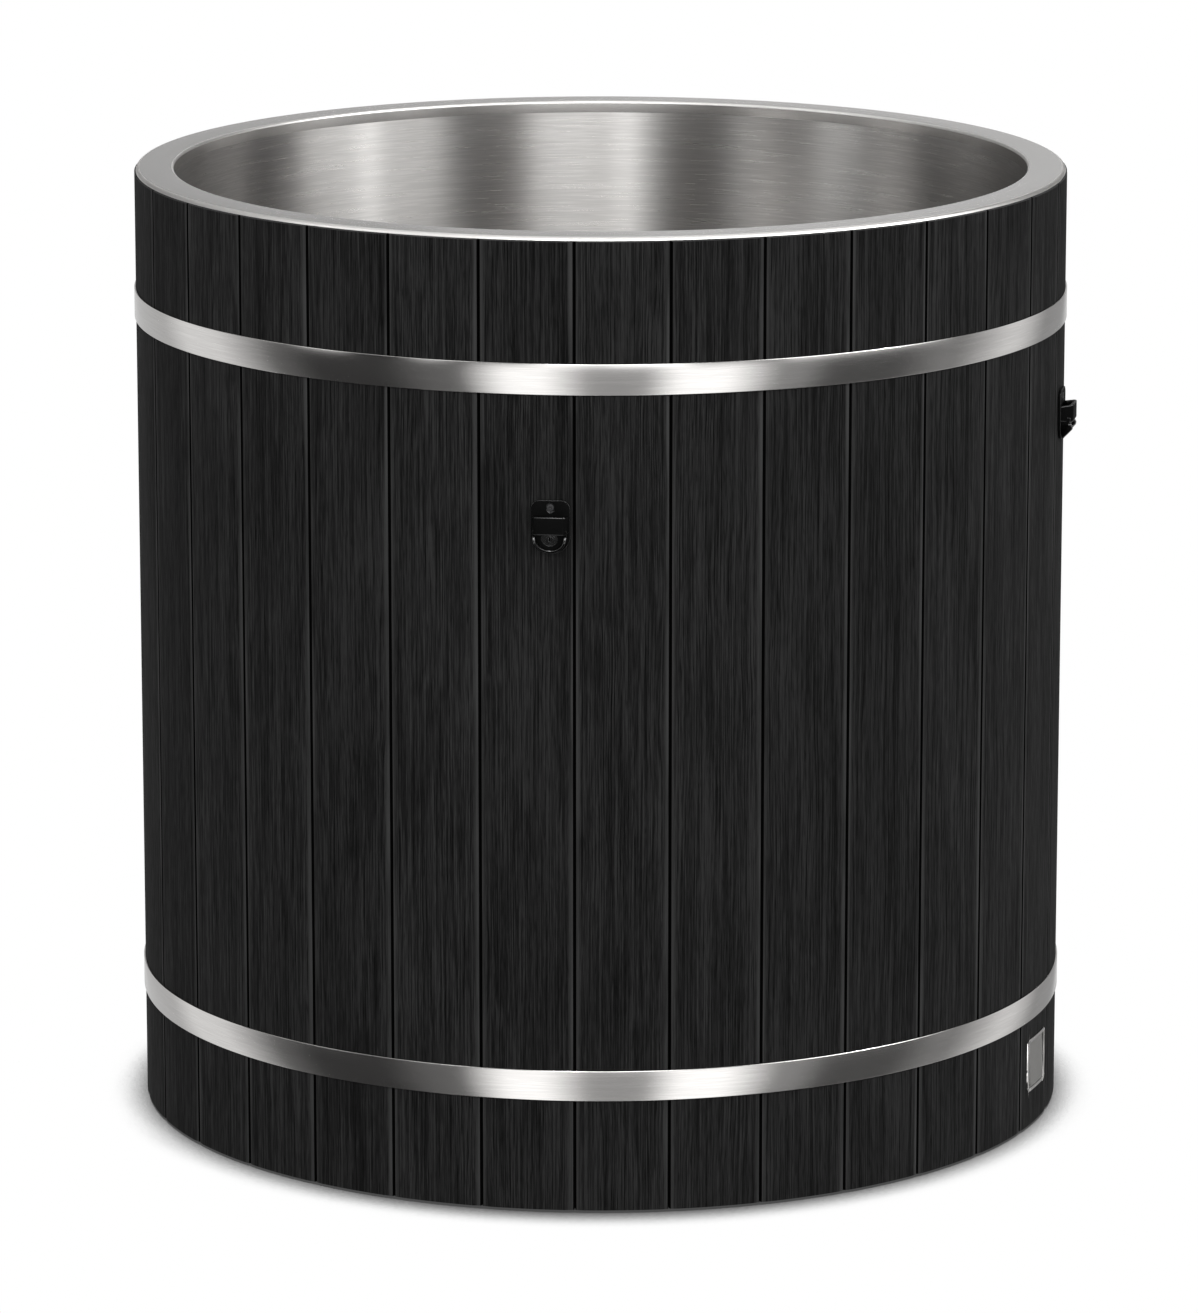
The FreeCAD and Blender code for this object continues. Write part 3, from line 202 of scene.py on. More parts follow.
def layered(tree, layers):
    """The sum of (pattern, weight) pairs."""
    total = 0.0
    for pattern, weight in layers:
        total = add(tree, "Math", {0: pattern, 1: weight, 2: total}, operation="MULTIPLY_ADD")
    return total


def charred(finish, name):
    """Long fine ridges and grooves, dark pores, planed edges with a painted sheen, and painted shade in the
    seams.
    """
    tree, shader, place = begin(name)
    marks = ("board", "planed", "seam", "arris")
    board, planed, seam, arris = (add(tree, "Attribute", out="Fac", attribute_name=mark) for mark in marks)
    # The grain wanders a few millimetres to the side over a hand's length.
    drift = streaks(tree, place, (60, 60, 160), 1.0, board)
    aside = add(tree, "Math", {0: drift, 1: 5 * MM, 2: -2.5 * MM}, operation="MULTIPLY_ADD")
    offset = add(tree, "CombineXYZ", {"X": aside, "Y": aside})
    place = add(tree, "VectorMath", {0: place, 1: offset}, operation="ADD")
    ridges = streaks(tree, place, (1.3, 1.3, 170), 1.0, board)
    fibres = streaks(tree, place, (0.9, 0.9, 24), 2.0, board)
    bands = streaks(tree, place, (8, 8, 600), 1.0, board)
    clouds = streaks(tree, place, (50, 50, 300), 2.0, board)
    grain = layered(tree, ((ridges, 0.46), (fibres, 0.3), (bands, 0.13), (clouds, 0.11)))
    tones = ((0.385, finish.char_dark), (0.48, finish.char_mid), (0.585, finish.char_light))
    wood = add(tree, "ValToRGB", {"Fac": grain}, stops=tones)
    # Open pores: short dark cuts, a few to the square centimetre.
    elsewhere = add(tree, "Math", {0: board, 1: 40.0}, operation="ADD")
    pores = streaks(tree, place, (1.6, 1.6, 26), 1.0, elsewhere)
    open_pore = add(tree, "MapRange", {0: pores, 1: 0.64, 2: 0.72, 3: 1.0, 4: 0.5})
    # Each board has a tone of its own.
    chance = add(tree, "TexWhiteNoise", {"W": board}, "Value", noise_dimensions="1D")
    tone = add(tree, "MapRange", {0: chance, 3: 0.84, 4: 1.16})
    shade = add(tree, "Math", {0: open_pore, 1: tone}, operation="MULTIPLY")
    wood = add(tree, "Mix", {0: 1.0, 6: wood, 7: shade}, 2, data_type="RGBA", blend_type="MULTIPLY")
    # The planed edge is lighter: the planed wood's own closed face, with a painted sheen on it.
    width = add(tree, "Math", {0: planed, 1: bands}, operation="MULTIPLY")
    keen = add(tree, "MapRange", {0: drift, 1: 0.35, 2: 0.65, 3: 0.3, 4: 0.9})
    edge = add(tree, "MapRange", {0: width, 1: 0.12, 2: 0.34})
    edge = add(tree, "Math", {0: edge, 1: keen}, operation="MULTIPLY")
    # Painted highlight: the upward chamfers at a board's end take the planed tone.
    edge = add(tree, "Math", {0: edge, 1: arris}, operation="MAXIMUM")
    wood = add(tree, "Mix", {0: edge, 6: wood, 7: rgba(finish.planed_tone_and_sheen)}, 2, data_type="RGBA")
    # Painted shade: the seam's chamfers are painted near black, for the shade in the groove.
    wood = add(tree, "Mix", {0: seam, 6: wood, 7: rgba(finish.painted_seam_shade)}, 2, data_type="RGBA")
    gloss = add(tree, "MapRange", {0: fibres, 1: 0.3, 2: 0.7, 3: 0.78, 4: 0.6})
    gloss = add(tree, "Math", {0: gloss, 1: seam}, operation="MAXIMUM")
    height = layered(tree, ((ridges, 0.55), (fibres, 0.3), (open_pore, 0.15)))
    depth = add(tree, "MapRange", {0: edge, 2: 0.5, 3: 0.6, 4: 0.15})
    bump = add(tree, "Bump", {"Height": height, "Strength": depth, "Distance": 0.6 * MM})
    give(shader, {"Base Color": wood, "Roughness": gloss, "Normal": bump, "Specular IOR Level": 0.03})


def brushed(finish, name, rough, stretch, contrast):
    """Stainless sheet with brush lines round the tub: they vary the gloss and stretch reflections across."""
    tree, shader, place = begin(name)
    part = add(tree, "SeparateXYZ", {"Vector": place}, None)
    level = add(tree, "CombineXYZ", {"X": part["X"], "Y": part["Y"]})
    # The lines follow the ring on walls and on level faces, so they go by height and radius together.
    radius = add(tree, "VectorMath", {0: level}, "Value", operation="LENGTH")
    across = add(tree, "Math", {0: radius, 1: part["Z"]}, operation="ADD")
    place = add(tree, "CombineXYZ", {"X": part["X"], "Y": part["Y"], "Z": across})
    # Real brush lines are a tenth as wide, too fine to show, so these are drawn coarser.
    lines = streaks(tree, place, (50, 50, 1.3))
    patches = streaks(tree, place, (200, 200, 7))
    mark = layered(tree, ((lines, 0.65), (patches, 0.35)))
    tones = ((0.44, [(1 - contrast) * c for c in finish.steel]), (0.64, finish.steel))
    shine = add(tree, "ValToRGB", {"Fac": mark}, stops=tones)
    gloss = add(tree, "MapRange", {0: mark, 1: 0.36, 2: 0.64, 3: rough * 1.03, 4: rough * 0.97})
    bump = add(tree, "Bump", {"Height": lines, "Strength": contrast * 0.05, "Distance": 0.05 * MM})
    tangent = add(tree, "Tangent", direction_type="RADIAL", axis="Z")
    give(shader, {"Base Color": shine, "Roughness": gloss, "Normal": bump, "Metallic": 1.0})
    give(shader, {"Anisotropic": stretch, "Anisotropic Rotation": 0.25, "Tangent": tangent})


def speckled(finish, name, tint, rough, metallic, grain, strength, specular=0.5):
    """A fine uneven skin: tone, gloss and bump follow one noise, whose grain is in millimetres."""
    # A real skin is often finer than half a millimetre, too fine to show, so it is drawn coarser.
    tree, shader, place = begin(name)
    base = getattr(finish, tint)
    skin = streaks(tree, place, [grain] * 3, 3.0)
    cloud = streaks(tree, place, [14 * grain] * 3)
    mark = layered(tree, ((skin, 0.5), (cloud, 0.5)))
    tones = ((0.35, [0.82 * c for c in base]), (0.65, [min(1.0, 1.08 * c) for c in base]))
    shade = add(tree, "ValToRGB", {"Fac": mark}, stops=tones)
    gloss = add(tree, "MapRange", {0: mark, 1: 0.35, 2: 0.65, 3: rough * 0.8, 4: rough * 1.25})
    bump = add(tree, "Bump", {"Height": skin, "Strength": strength, "Distance": 0.3 * grain * MM})
    give(shader, {"Base Color": shade, "Roughness": gloss, "Normal": bump})
    give(shader, {"Metallic": metallic, "Specular IOR Level": specular})


def foamed(finish, name, cell):
    """Closed cells, darker where they meet."""
    tree, shader, place = begin(name)
    cells = add(tree, "TexVoronoi", {"Vector": place, "Scale": 1 / (cell * MM)}, "Distance")
    tones = ((0.1, [0.8 * c for c in finish.foam]), (0.7, finish.foam))
    shade = add(tree, "ValToRGB", {"Fac": cells}, stops=tones)
    bump = add(tree, "Bump", {"Height": cells, "Strength": 0.4, "Distance": 0.4 * MM})
    give(shader, {"Base Color": shade, "Normal": bump, "Roughness": 0.9})


def sawn(finish, name):
    """Year rings and fibres along Y."""
    tree, shader, place = begin(name)
    rings = streaks(tree, place, (7, 420, 7))
    fibres = streaks(tree, place, (1.2, 60, 1.2))
    grain = layered(tree, ((rings, 0.65), (fibres, 0.35)))
    tones = ((0.38, finish.spruce_dark), (0.6, finish.spruce_light))
    shade = add(tree, "ValToRGB", {"Fac": grain}, stops=tones)
    gloss = add(tree, "MapRange", {0: fibres, 1: 0.3, 2: 0.7, 3: 0.8, 4: 0.62})
    bump = add(tree, "Bump", {"Height": fibres, "Strength": 0.3, "Distance": 0.3 * MM})
    give(shader, {"Base Color": shade, "Roughness": gloss, "Normal": bump})


def papered(finish, name):
    """White to the camera, with the shade where the tub stands close over it."""
    tree, shader, place = begin(name)
    give(shader, {"Base Color": rgba(finish.floor), "Roughness": 0.9})
    # The shade is looked for upwards and in towards the tub, more along Y than along X.
    outward = add(tree, "VectorMath", {0: place}, operation="NORMALIZE")
    lean = add(tree, "VectorMath", {0: outward, 1: (-0.4, -1, 0), 2: (0, 0, 1)}, operation="MULTIPLY_ADD")
    lean = add(tree, "VectorMath", {0: lean}, operation="NORMALIZE")
    near = add(tree, "AmbientOcclusion", {"Distance": 0.105, "Normal": lean}, "AO", samples=16)
    shades = ((0.28, 0.07), (0.35, 0.22), (0.43, 0.5), (0.5, 0.82), (0.57, 1.0))
    tones = [(place, grey(shade)) for place, shade in shades]
    glow = add(tree, "Emission", {"Color": add(tree, "ValToRGB", {"Fac": near}, stops=tones)})
    seen = add(tree, "LightPath", out="Is Camera Ray")
    mixed = add(tree, "MixShader", {0: seen, 1: shader.outputs[0], 2: glow})
    give(tree.nodes["Material Output"], {"Surface": mixed})


# Each finish: what makes it, and the values that this takes.
FINISHES = {
    # Larch, charred black and wire brushed: nearly no shine, with the grain standing proud.
    "charred_larch": (charred,),
    # Liner: a coarse round brush finish that smears what it mirrors up and down.
    "liner_sheet": (brushed, 0.28, 0.96, 0.2),
    # Rim: a finer satin finish.
    "rim_sheet": (brushed, 0.24, 0.5, 0.06),
    # The rim's rolled edges, tumbled to an even satin.
    "rolled_edge": (brushed, 0.42, 0.0, 0.05),
    # Hoops: bright rolled strip with a light brush.
    "hoop_strip": (brushed, 0.15, 0.3, 0.08),
    # Injection-moulded nylon: black and close-grained, with a faint orange-peel skin.
    "moulded_nylon": (speckled, "nylon", 0.5, 0.0, 1.2, 0.05, 0.02),
    # The latches' edges, which handling has polished: they catch the light.
    "burnished_nylon": (speckled, "nylon", 0.3, 0.0, 1.2, 0.03, 1.0),
    # The socket's lip, which the cover's tongue has rubbed: a softer gleam than the handled edges.
    "eased_nylon": (speckled, "nylon", 0.28, 0.0, 1.2, 0.03, 0.35),
    # Nylon of the locks: blacker than the latches, with a little more sheen.
    "satin_nylon": (speckled, "lock", 0.22, 0.0, 0.8, 0.04, 0.12),
    # Zinc-plated steel: bright grey with a fine crystalline skin.
    "zinc_plate": (speckled, "zinc", 0.32, 1.0, 0.6, 0.12),
    # Field of the small plate: stainless blasted matt with fine beads.
    "blasted_steel": (speckled, "blasted", 0.5, 1.0, 0.5, 0.15),
    # Blacked steel screws: dark grey with a dull shine.
    "black_oxide": (speckled, "oxide", 0.42, 1.0, 0.5, 0.1),
    # Satin nickel over cast brass: pale and a little warm, with the casting's slightly rough skin.
    "nickel_plate": (speckled, "nickel", 0.34, 1.0, 0.7, 0.22),
    # Hard chrome: nearly a mirror.
    "chrome_plate": (speckled, "chrome", 0.1, 1.0, 1.0, 0.02),
    # Pressed lever of plated steel: brighter than the bolts.
    "lever_plate": (speckled, "zinc", 0.28, 1.0, 0.9, 0.1),
    # Vinyl that the lever was dipped in: soft, with a dull sheen.
    "dipped_vinyl": (speckled, "vinyl", 0.5, 0.0, 0.9, 0.25),
    # Extruded pipe: pale, smooth, with a faint unevenness.
    "pipe_plastic": (speckled, "pipe", 0.38, 0.0, 1.6, 0.08),
    # Rigid foam: matt, with cells about a millimetre across.
    "cell_foam": (foamed, 1.2),
    # Sawn spruce of the base: pale, with darker rings along the boards.
    "sawn_spruce": (sawn,),
    # Paper of the studio floor: matt, and white behind the tub.
    "white_paper_floor": (papered,),
}


def shared(name, context):
    """The material of a finish, made once."""
    if name not in bpy.data.materials:
        maker, *values = FINISHES[name]
        maker(context.scene.tub_finish, name, *values)
    return bpy.data.materials[name]


# Modelling


def clear_selection():
    if bpy.context.object and bpy.context.object.mode != "OBJECT":
        close()
    bpy.ops.object.select_all(action="DESELECT")


def close():
    """Ends the editing of the open piece."""
    bpy.ops.object.mode_set(mode="OBJECT")


def hold(piece):
    """Makes a piece the only selected and the active object."""
    clear_selection()
    piece.select_set(True)
    bpy.context.view_layer.objects.active = piece
    return piece


def named(name):
    """Names the primitive that was just added."""
    piece = bpy.context.object
    piece.name = name
    piece.data.name = name
    return piece


def settle(piece):
    """Puts a piece's place, turn and scale into its mesh."""
    hold(piece)
    bpy.ops.object.transform_apply(location=True, rotation=True, scale=True)
    return piece


def edit(piece):
    """Opens a piece for editing, by vertices, with nothing selected."""
    hold(piece)
    bpy.ops.object.mode_set(mode="EDIT")
    bpy.ops.mesh.select_mode(type="VERT")
    bpy.ops.mesh.select_all(action="DESELECT")


def pick(piece, kind, test):
    """Selects, in the open piece, the vertices, edges or faces that a test accepts."""
    bpy.ops.mesh.select_mode(type={"verts": "VERT", "edges": "EDGE", "faces": "FACE"}[kind])
    bpy.ops.mesh.select_all(action="DESELECT")
    shape = bmesh.from_edit_mesh(piece.data)
    for element in getattr(shape, kind):
        if test(element):
            element.select_set(True)
    shape.select_flush_mode()
    bmesh.update_edit_mesh(piece.data)


def pick_all():
    bpy.ops.mesh.select_all(action="SELECT")


def bisect_all(spot, normal, **settings):
    """Cuts all of the open piece along a plane."""
    pick_all()
    bpy.ops.mesh.bisect(plane_co=spot, plane_no=normal, **settings)


def draw_out(way):
    """Extrudes what is selected."""
    bpy.ops.mesh.extrude_region_move(TRANSFORM_OT_translate={"value": way})


def round_edges(width, segments):
    """Rounds the selected edges, or chamfers them with one segment."""
    bpy.ops.mesh.bevel(offset=width, segments=segments, affect="EDGES")


def sound(piece, merge=0.002 * MM):
    """Merges what coincides and turns every face outwards."""
    edit(piece)
    pick_all()
    bpy.ops.mesh.remove_doubles(threshold=merge)
    bpy.ops.mesh.normals_make_consistent(inside=False)
    close()
    return piece


def smooth(piece, degrees=SHEET_CREASE):
    """Shades a piece smooth, apart from the edges that turn more than an angle."""
    hold(piece)
    bpy.ops.object.shade_smooth_by_angle(angle=math.radians(degrees))
    return piece


def arc(centre, radius, start, end, steps):
    """Points of an arc in a profile, angles in degrees from the outward direction upwards."""
    angles = [math.radians(start + (end - start) * i / steps) for i in range(steps + 1)]
    return [(centre[0] + radius * math.cos(a), centre[1] + radius * math.sin(a)) for a in angles]


def turned_piece(name, profile, steps=RING_STEPS):
    """Turns a closed profile of (radius, height) points about the Z axis, ring by ring."""
    clear_selection()
    radius, height = profile[0]
    bpy.ops.mesh.primitive_circle_add(vertices=steps, radius=radius, location=(0, 0, height))
    piece = settle(named(name))
    edit(piece)
    pick_all()
    for new_radius, new_height in profile[1:] + profile[:1]:
        draw_out((0, 0, new_height - height))
        share = new_radius / radius
        bpy.ops.transform.resize(value=(share, share, 1), center_override=(0, 0, 0))
        radius, height = new_radius, new_height
    return sound(piece)


def section(name, spot, width, height):
    """An upright rectangle across the tub's wall, as a start for spinning."""
    clear_selection()
    bpy.ops.mesh.primitive_plane_add(size=1, location=spot, rotation=(math.pi / 2, 0, 0))
    piece = named(name)
    piece.scale = (width, height, 1)
    return settle(piece)


def block_of(name, low_corner, high_corner):
    """A cube between two corners, as a start."""
    clear_selection()
    lower, upper = Vector(low_corner), Vector(high_corner)
    bpy.ops.mesh.primitive_cube_add(size=1, location=(lower + upper) / 2)
    piece = named(name)
    piece.scale = upper - lower
    return settle(piece)


def rod(name, radius, length, spot, turn, sides=64):
    """A round tool to drill with."""
    clear_selection()
    bpy.ops.mesh.primitive_cylinder_add(
        vertices=sides, radius=radius, depth=length, location=spot, rotation=turn
    )
    return settle(named(name))


def soften(piece, width, segments=2, slot=-1):
    """Rounds the edges that turn more than sheet does, into a material slot of their own if one is given."""
    hold(piece)
    edges = piece.modifiers.new("soft edges", "BEVEL")
    edges.width = width
    edges.segments = segments
    edges.limit_method = "ANGLE"
    edges.angle_limit = math.radians(SHEET_CREASE)
    edges.material = slot
    bpy.ops.object.modifier_apply(modifier=edges.name)
    return piece


def dressed(name, node, bevel=0.0, merge=0.005 * MM, flat=0.5):
    """A copy of a node's mesh, joined up, without its flat edges and with its sharp ones softened."""
    piece = bpy.data.objects.new(name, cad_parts[node].data.copy())
    bpy.context.scene.collection.objects.link(piece)
    piece.data.name = name
    edit(piece)
    pick_all()
    bpy.ops.mesh.remove_doubles(threshold=merge)
    bpy.ops.mesh.dissolve_limited(angle_limit=math.radians(flat))
    close()
    if bevel:
        soften(piece, bevel)
    return smooth(piece, CAST_CREASE)


def joined(name, pieces):
    hold(pieces[0])
    for piece in pieces:
        piece.select_set(True)
    bpy.ops.object.join()
    return named(name)


def twin(piece, name, matrix):
    """A copy with its own mesh, moved by a matrix."""
    copy = bpy.data.objects.new(name, piece.data.copy())
    copy.data.name = name
    copy.data.transform(matrix)
    bpy.context.scene.collection.objects.link(copy)
    return copy


def cut(piece, tool):
    """Takes a tool's shape out of a piece, and the tool away."""
    hold(piece)
    taken = piece.modifiers.new("cut", "BOOLEAN")
    taken.object = tool
    taken.operation = "DIFFERENCE"
    bpy.ops.object.modifier_apply(modifier=taken.name)
    bpy.data.objects.remove(tool)
    return piece


def paint(piece, *materials):
    piece.data.materials.clear()
    for made in materials:
        piece.data.materials.append(made)
    return piece


def paint_picked(piece, slot):
    """Gives the selected faces of the open piece a material slot."""
    piece.active_material_index = slot
    bpy.ops.object.material_slot_assign()


def finish_piece(piece, body, slot, *nodes):
    """Lets a piece ride on its body and hides the nodes that it stands for; its slot is not used."""
    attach(piece, body)
    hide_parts(*nodes)


def swing(angle):
    """The turn that brings a piece drawn along +X round to an angle from the front."""
    return Matrix.Rotation(FRONT + angle, 4, "Z")


def runs(edge, axis):
    """Whether an edge runs along an axis: 0 is out from the tub, 2 is up."""
    along = edge.verts[1].co - edge.verts[0].co
    return abs(along[axis]) > 0.9 * along.length


class TUB_OT_staves(bpy.types.Operator):
    """Tongued staves, bevelled along their seams."""

    bl_idname = "tub.staves"
    bl_label = "Staves"

    face_steps = 9
    # Radians by which a point may miss a board's side and still count as on it.
    side_slack = 1e-4
    # How far apart two boards' grain lies in the noise.
    grain_step = 7.0
    # Shares of the planed tone: on a board's left edge, less than on its right as painted shade of the side
    # away from the light, and on the chamfers of its end, as a painted highlight.
    shaded_left_share = 0.7
    end_highlight_share = 0.6
    pipe_room = 1.5 * MM
    drill_length = 0.2

    def execute(self, context):
        sizes = context.scene.tub_sizes
        wood = shared("charred_larch", context)
        pitch = math.tau / sizes.stave_count
        blank = self.blank(sizes, pitch)
        for number in range(1, sizes.stave_count + 1):
            angle = sizes.stave_phase + pitch * (number - 0.5)
            board = twin(blank, f"stave_board_{number:02d}", swing(angle))
            self.drill(board, sizes, angle, pitch)
            values = [number * self.grain_step] * len(board.data.vertices)
            board.data.attributes.new("board", "FLOAT", "POINT").data.foreach_set("value", values)
            smooth(board, BOARD_CREASE)
            finish_piece(paint(board, wood), "tub", "stave_wood", f"stave_{number:02d}")
        bpy.data.objects.remove(blank)
        return {"FINISHED"}

    def blank(self, sizes, pitch):
        """One board along +X: a strip spun round the axis, then bevelled, tongued and grooved."""
        outer, thick = sizes.outer_radius, sizes.stave_thickness
        bottom, top = low("stave_01"), high("stave_01") + sizes.stave_rise
        middle = outer - thick / 2
        piece = section("stave_blank", (middle, 0, (bottom + top) / 2), thick, top - bottom)
        edit(piece)
        tongue = sizes.tongue_width / 2
        groove = tongue + sizes.tongue_room
        for lift in (-groove, -tongue, tongue, groove):
            bisect_all((middle + lift, 0, 0), (1, 0, 0))
        pick_all()
        span = pitch - sizes.seam_gap / outer
        bpy.ops.mesh.spin(steps=self.face_steps, angle=span, center=(0, 0, 0), axis=(0, 0, 1))
        close()
        angles = [math.atan2(v.co.y, v.co.x) for v in piece.data.vertices]
        piece.data.transform(Matrix.Rotation(-(min(angles) + max(angles)) / 2, 4, "Z"))
        sound(piece)
        edit(piece)
        for side in (-1, 1):
            seam = Vector((-math.sin(side * pitch / 2), math.cos(side * pitch / 2), 0))
            bisect_all(-side * (sizes.seam_gap / 2 + sizes.bevel_width) * seam, seam)
        end = span / 2 - self.side_slack
        for side in (-1, 1):
            self.shape_side(piece, sizes, side, end, middle)
        face = outer - sizes.bevel_drop - NEAR
        pick(piece, "edges", lambda e: all(v.co.z > top - NEAR and off_axis(v.co) > face for v in e.verts))
        round_edges(sizes.arris, 1)
        close()
        self.mark_planed(piece, sizes, pitch)
        return piece

    def shape_side(self, piece, sizes, side, end, middle):
        """Bevels and chamfers one side of the board, and draws its tongue or sinks its groove."""

        def at_end(point):
            return side * math.atan2(point.y, point.x) > end

        outer = sizes.outer_radius
        pick(piece, "verts", lambda v: at_end(v.co) and off_axis(v.co) > outer - NEAR)
        inward = Vector((-math.cos(end), -side * math.sin(end), 0)) * sizes.bevel_drop
        bpy.ops.transform.translate(value=inward)
        arris = outer - sizes.bevel_drop - NEAR
        pick(piece, "edges", lambda e: all(at_end(v.co) and off_axis(v.co) > arris for v in e.verts))
        round_edges(sizes.arris, 1)
        room = sizes.tongue_room if side < 0 else 0
        half = sizes.tongue_width / 2 + room + NEAR / 2

        def on_tongue(face):
            spot = face.calc_center_median()
            return at_end(spot) and abs(off_axis(spot) - middle) < half

        pick(piece, "faces", on_tongue)
        draw_out(Vector((-math.sin(end), math.cos(end), 0)) * (sizes.tongue_depth + room))

    def mark_planed(self, piece, sizes, pitch):
        """Marks the planed edges, from the bevel's start to the arris, with a painted sheen and less on the
        left as painted shade; the seam's faces, for painted shade; and the end's chamfers, for a painted
        highlight.
        """

        def from_seam(point):
            angle = abs(math.atan2(point.y, point.x))
            return off_axis(point) * math.sin(pitch / 2 - angle) - sizes.seam_gap / 2

        def planed(point):
            if off_axis(point) <= sizes.outer_radius - 2 * sizes.bevel_drop:
                return 0.0
            near = 1 - from_seam(point) / sizes.bevel_width
            # Painted light: the right edge takes the whole planed tone, the left a smaller share, as if in
            # shade.
            return (1.0 if point.y > 0 else self.shaded_left_share) * min(1.0, max(0.0, near))

        faces = piece.data.polygons
        marks = (
            ("planed", "POINT", [planed(vertex.co) for vertex in piece.data.vertices]),
            # Painted shade: the chamfers into the seam, painted near black.
            ("seam", "FACE", [float(from_seam(face.center) < sizes.arris) for face in faces]),
            # Painted highlight: the upward chamfers at a board's end.
            ("arris", "FACE", [self.end_highlight_share * (0.3 < face.normal.z < 0.95) for face in faces]),
        )
        for name, domain, values in marks:
            piece.data.attributes.new(name, "FLOAT", domain).data.foreach_set("value", values)

    def drill(self, board, sizes, angle, pitch):
        """Lets the drain pipe through the staves that it crosses at the back."""
        lower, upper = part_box("drain_pipe")
        axis = Vector((0, upper.y, (lower.z + upper.z) / 2))
        radius = (upper.z - lower.z) / 2 + self.pipe_room
        from_back = angle % math.tau - math.pi
        if abs(from_back) < pitch / 2 + radius / sizes.outer_radius:
            cut(board, rod("drain_drill", radius, self.drill_length, axis, (math.pi / 2, 0, 0)))


class TUB_OT_rim(bpy.types.Operator):
    """Rim ring with a rounded outer edge and a fine inner bead."""

    bl_idname = "tub.rim"
    bl_label = "Rim"

    def execute(self, context):
        sizes = context.scene.tub_sizes
        outer, inner = sizes.outer_radius - sizes.rim_inset, reach("rim_ring", min)
        top, foot = high("rim_ring"), low("rim_ring")
        edge, bead, sheet = sizes.rim_edge, sizes.rim_bead, sizes.sheet
        edge_centre, bead_centre = (outer - edge, top - edge), (inner + bead, top - bead)
        # The rounded edge comes down onto the ends of the staves.
        rest = high("stave_01") + sizes.stave_rise - edge_centre[1]
        profile = [(inner, foot)]
        profile += arc(bead_centre, bead, 180, 90, 8)
        profile += arc(edge_centre, edge, 90, math.degrees(math.asin(rest / edge)), 8)
        profile += arc(edge_centre, edge - sheet, math.degrees(math.asin(rest / (edge - sheet))), 90, 6)
        profile += arc(bead_centre, bead - sheet, 90, 180, 4)
        profile += [(inner + sheet, foot)]
        rim = smooth(turned_piece("rim_turned", profile))
        paint(rim, shared("rim_sheet", context), shared("rolled_edge", context))
        edit(rim)
        # The rolled edges are what is neither upright nor level.
        pick(rim, "faces", lambda f: 0.05 < f.normal.z < 0.99)
        paint_picked(rim, 1)
        close()
        finish_piece(rim, "tub", "rim_steel", "rim_ring")
        return {"FINISHED"}


class TUB_OT_liner(bpy.types.Operator):
    """Liner wall and dished floor."""

    bl_idname = "tub.liner"
    bl_label = "Liner"

    # Liner floor turned up past the cove.
    flange = 10 * MM
    dish_steps = 256

    def execute(self, context):
        sizes = context.scene.tub_sizes
        steel = shared("liner_sheet", context)
        inner, sheet = reach("liner_wall", min), sizes.sheet
        foot, top = low("liner_wall"), high("liner_wall")
        profile = [(inner, foot), (inner, top), (inner + sheet, top), (inner + sheet, foot)]
        wall = smooth(turned_piece("liner_wall_brushed", profile))
        finish_piece(paint(wall, steel), "tub", "liner_steel", "liner_wall")

        hole = reach("liner_floor", min)
        drain_floor, weld = low("liner_floor"), high("liner_floor")
        cove_centre = (inner - sizes.cove, weld - self.flange)
        dish = cove_centre[1] - sizes.cove - sheet
        profile = [(hole, drain_floor), (sizes.floor_flat, drain_floor), (cove_centre[0], dish)]
        profile += arc(cove_centre, sizes.cove + sheet, -80, 0, 8)
        profile += [(inner + sheet, weld), (inner, weld)]
        profile += arc(cove_centre, sizes.cove, 0, -90, 9)
        profile += [(sizes.floor_flat, drain_floor + sheet), (hole, drain_floor + sheet)]
        floor = smooth(turned_piece("liner_floor_dished", profile, self.dish_steps))
        finish_piece(paint(floor, steel), "tub", "liner_steel", "liner_floor")
        return {"FINISHED"}


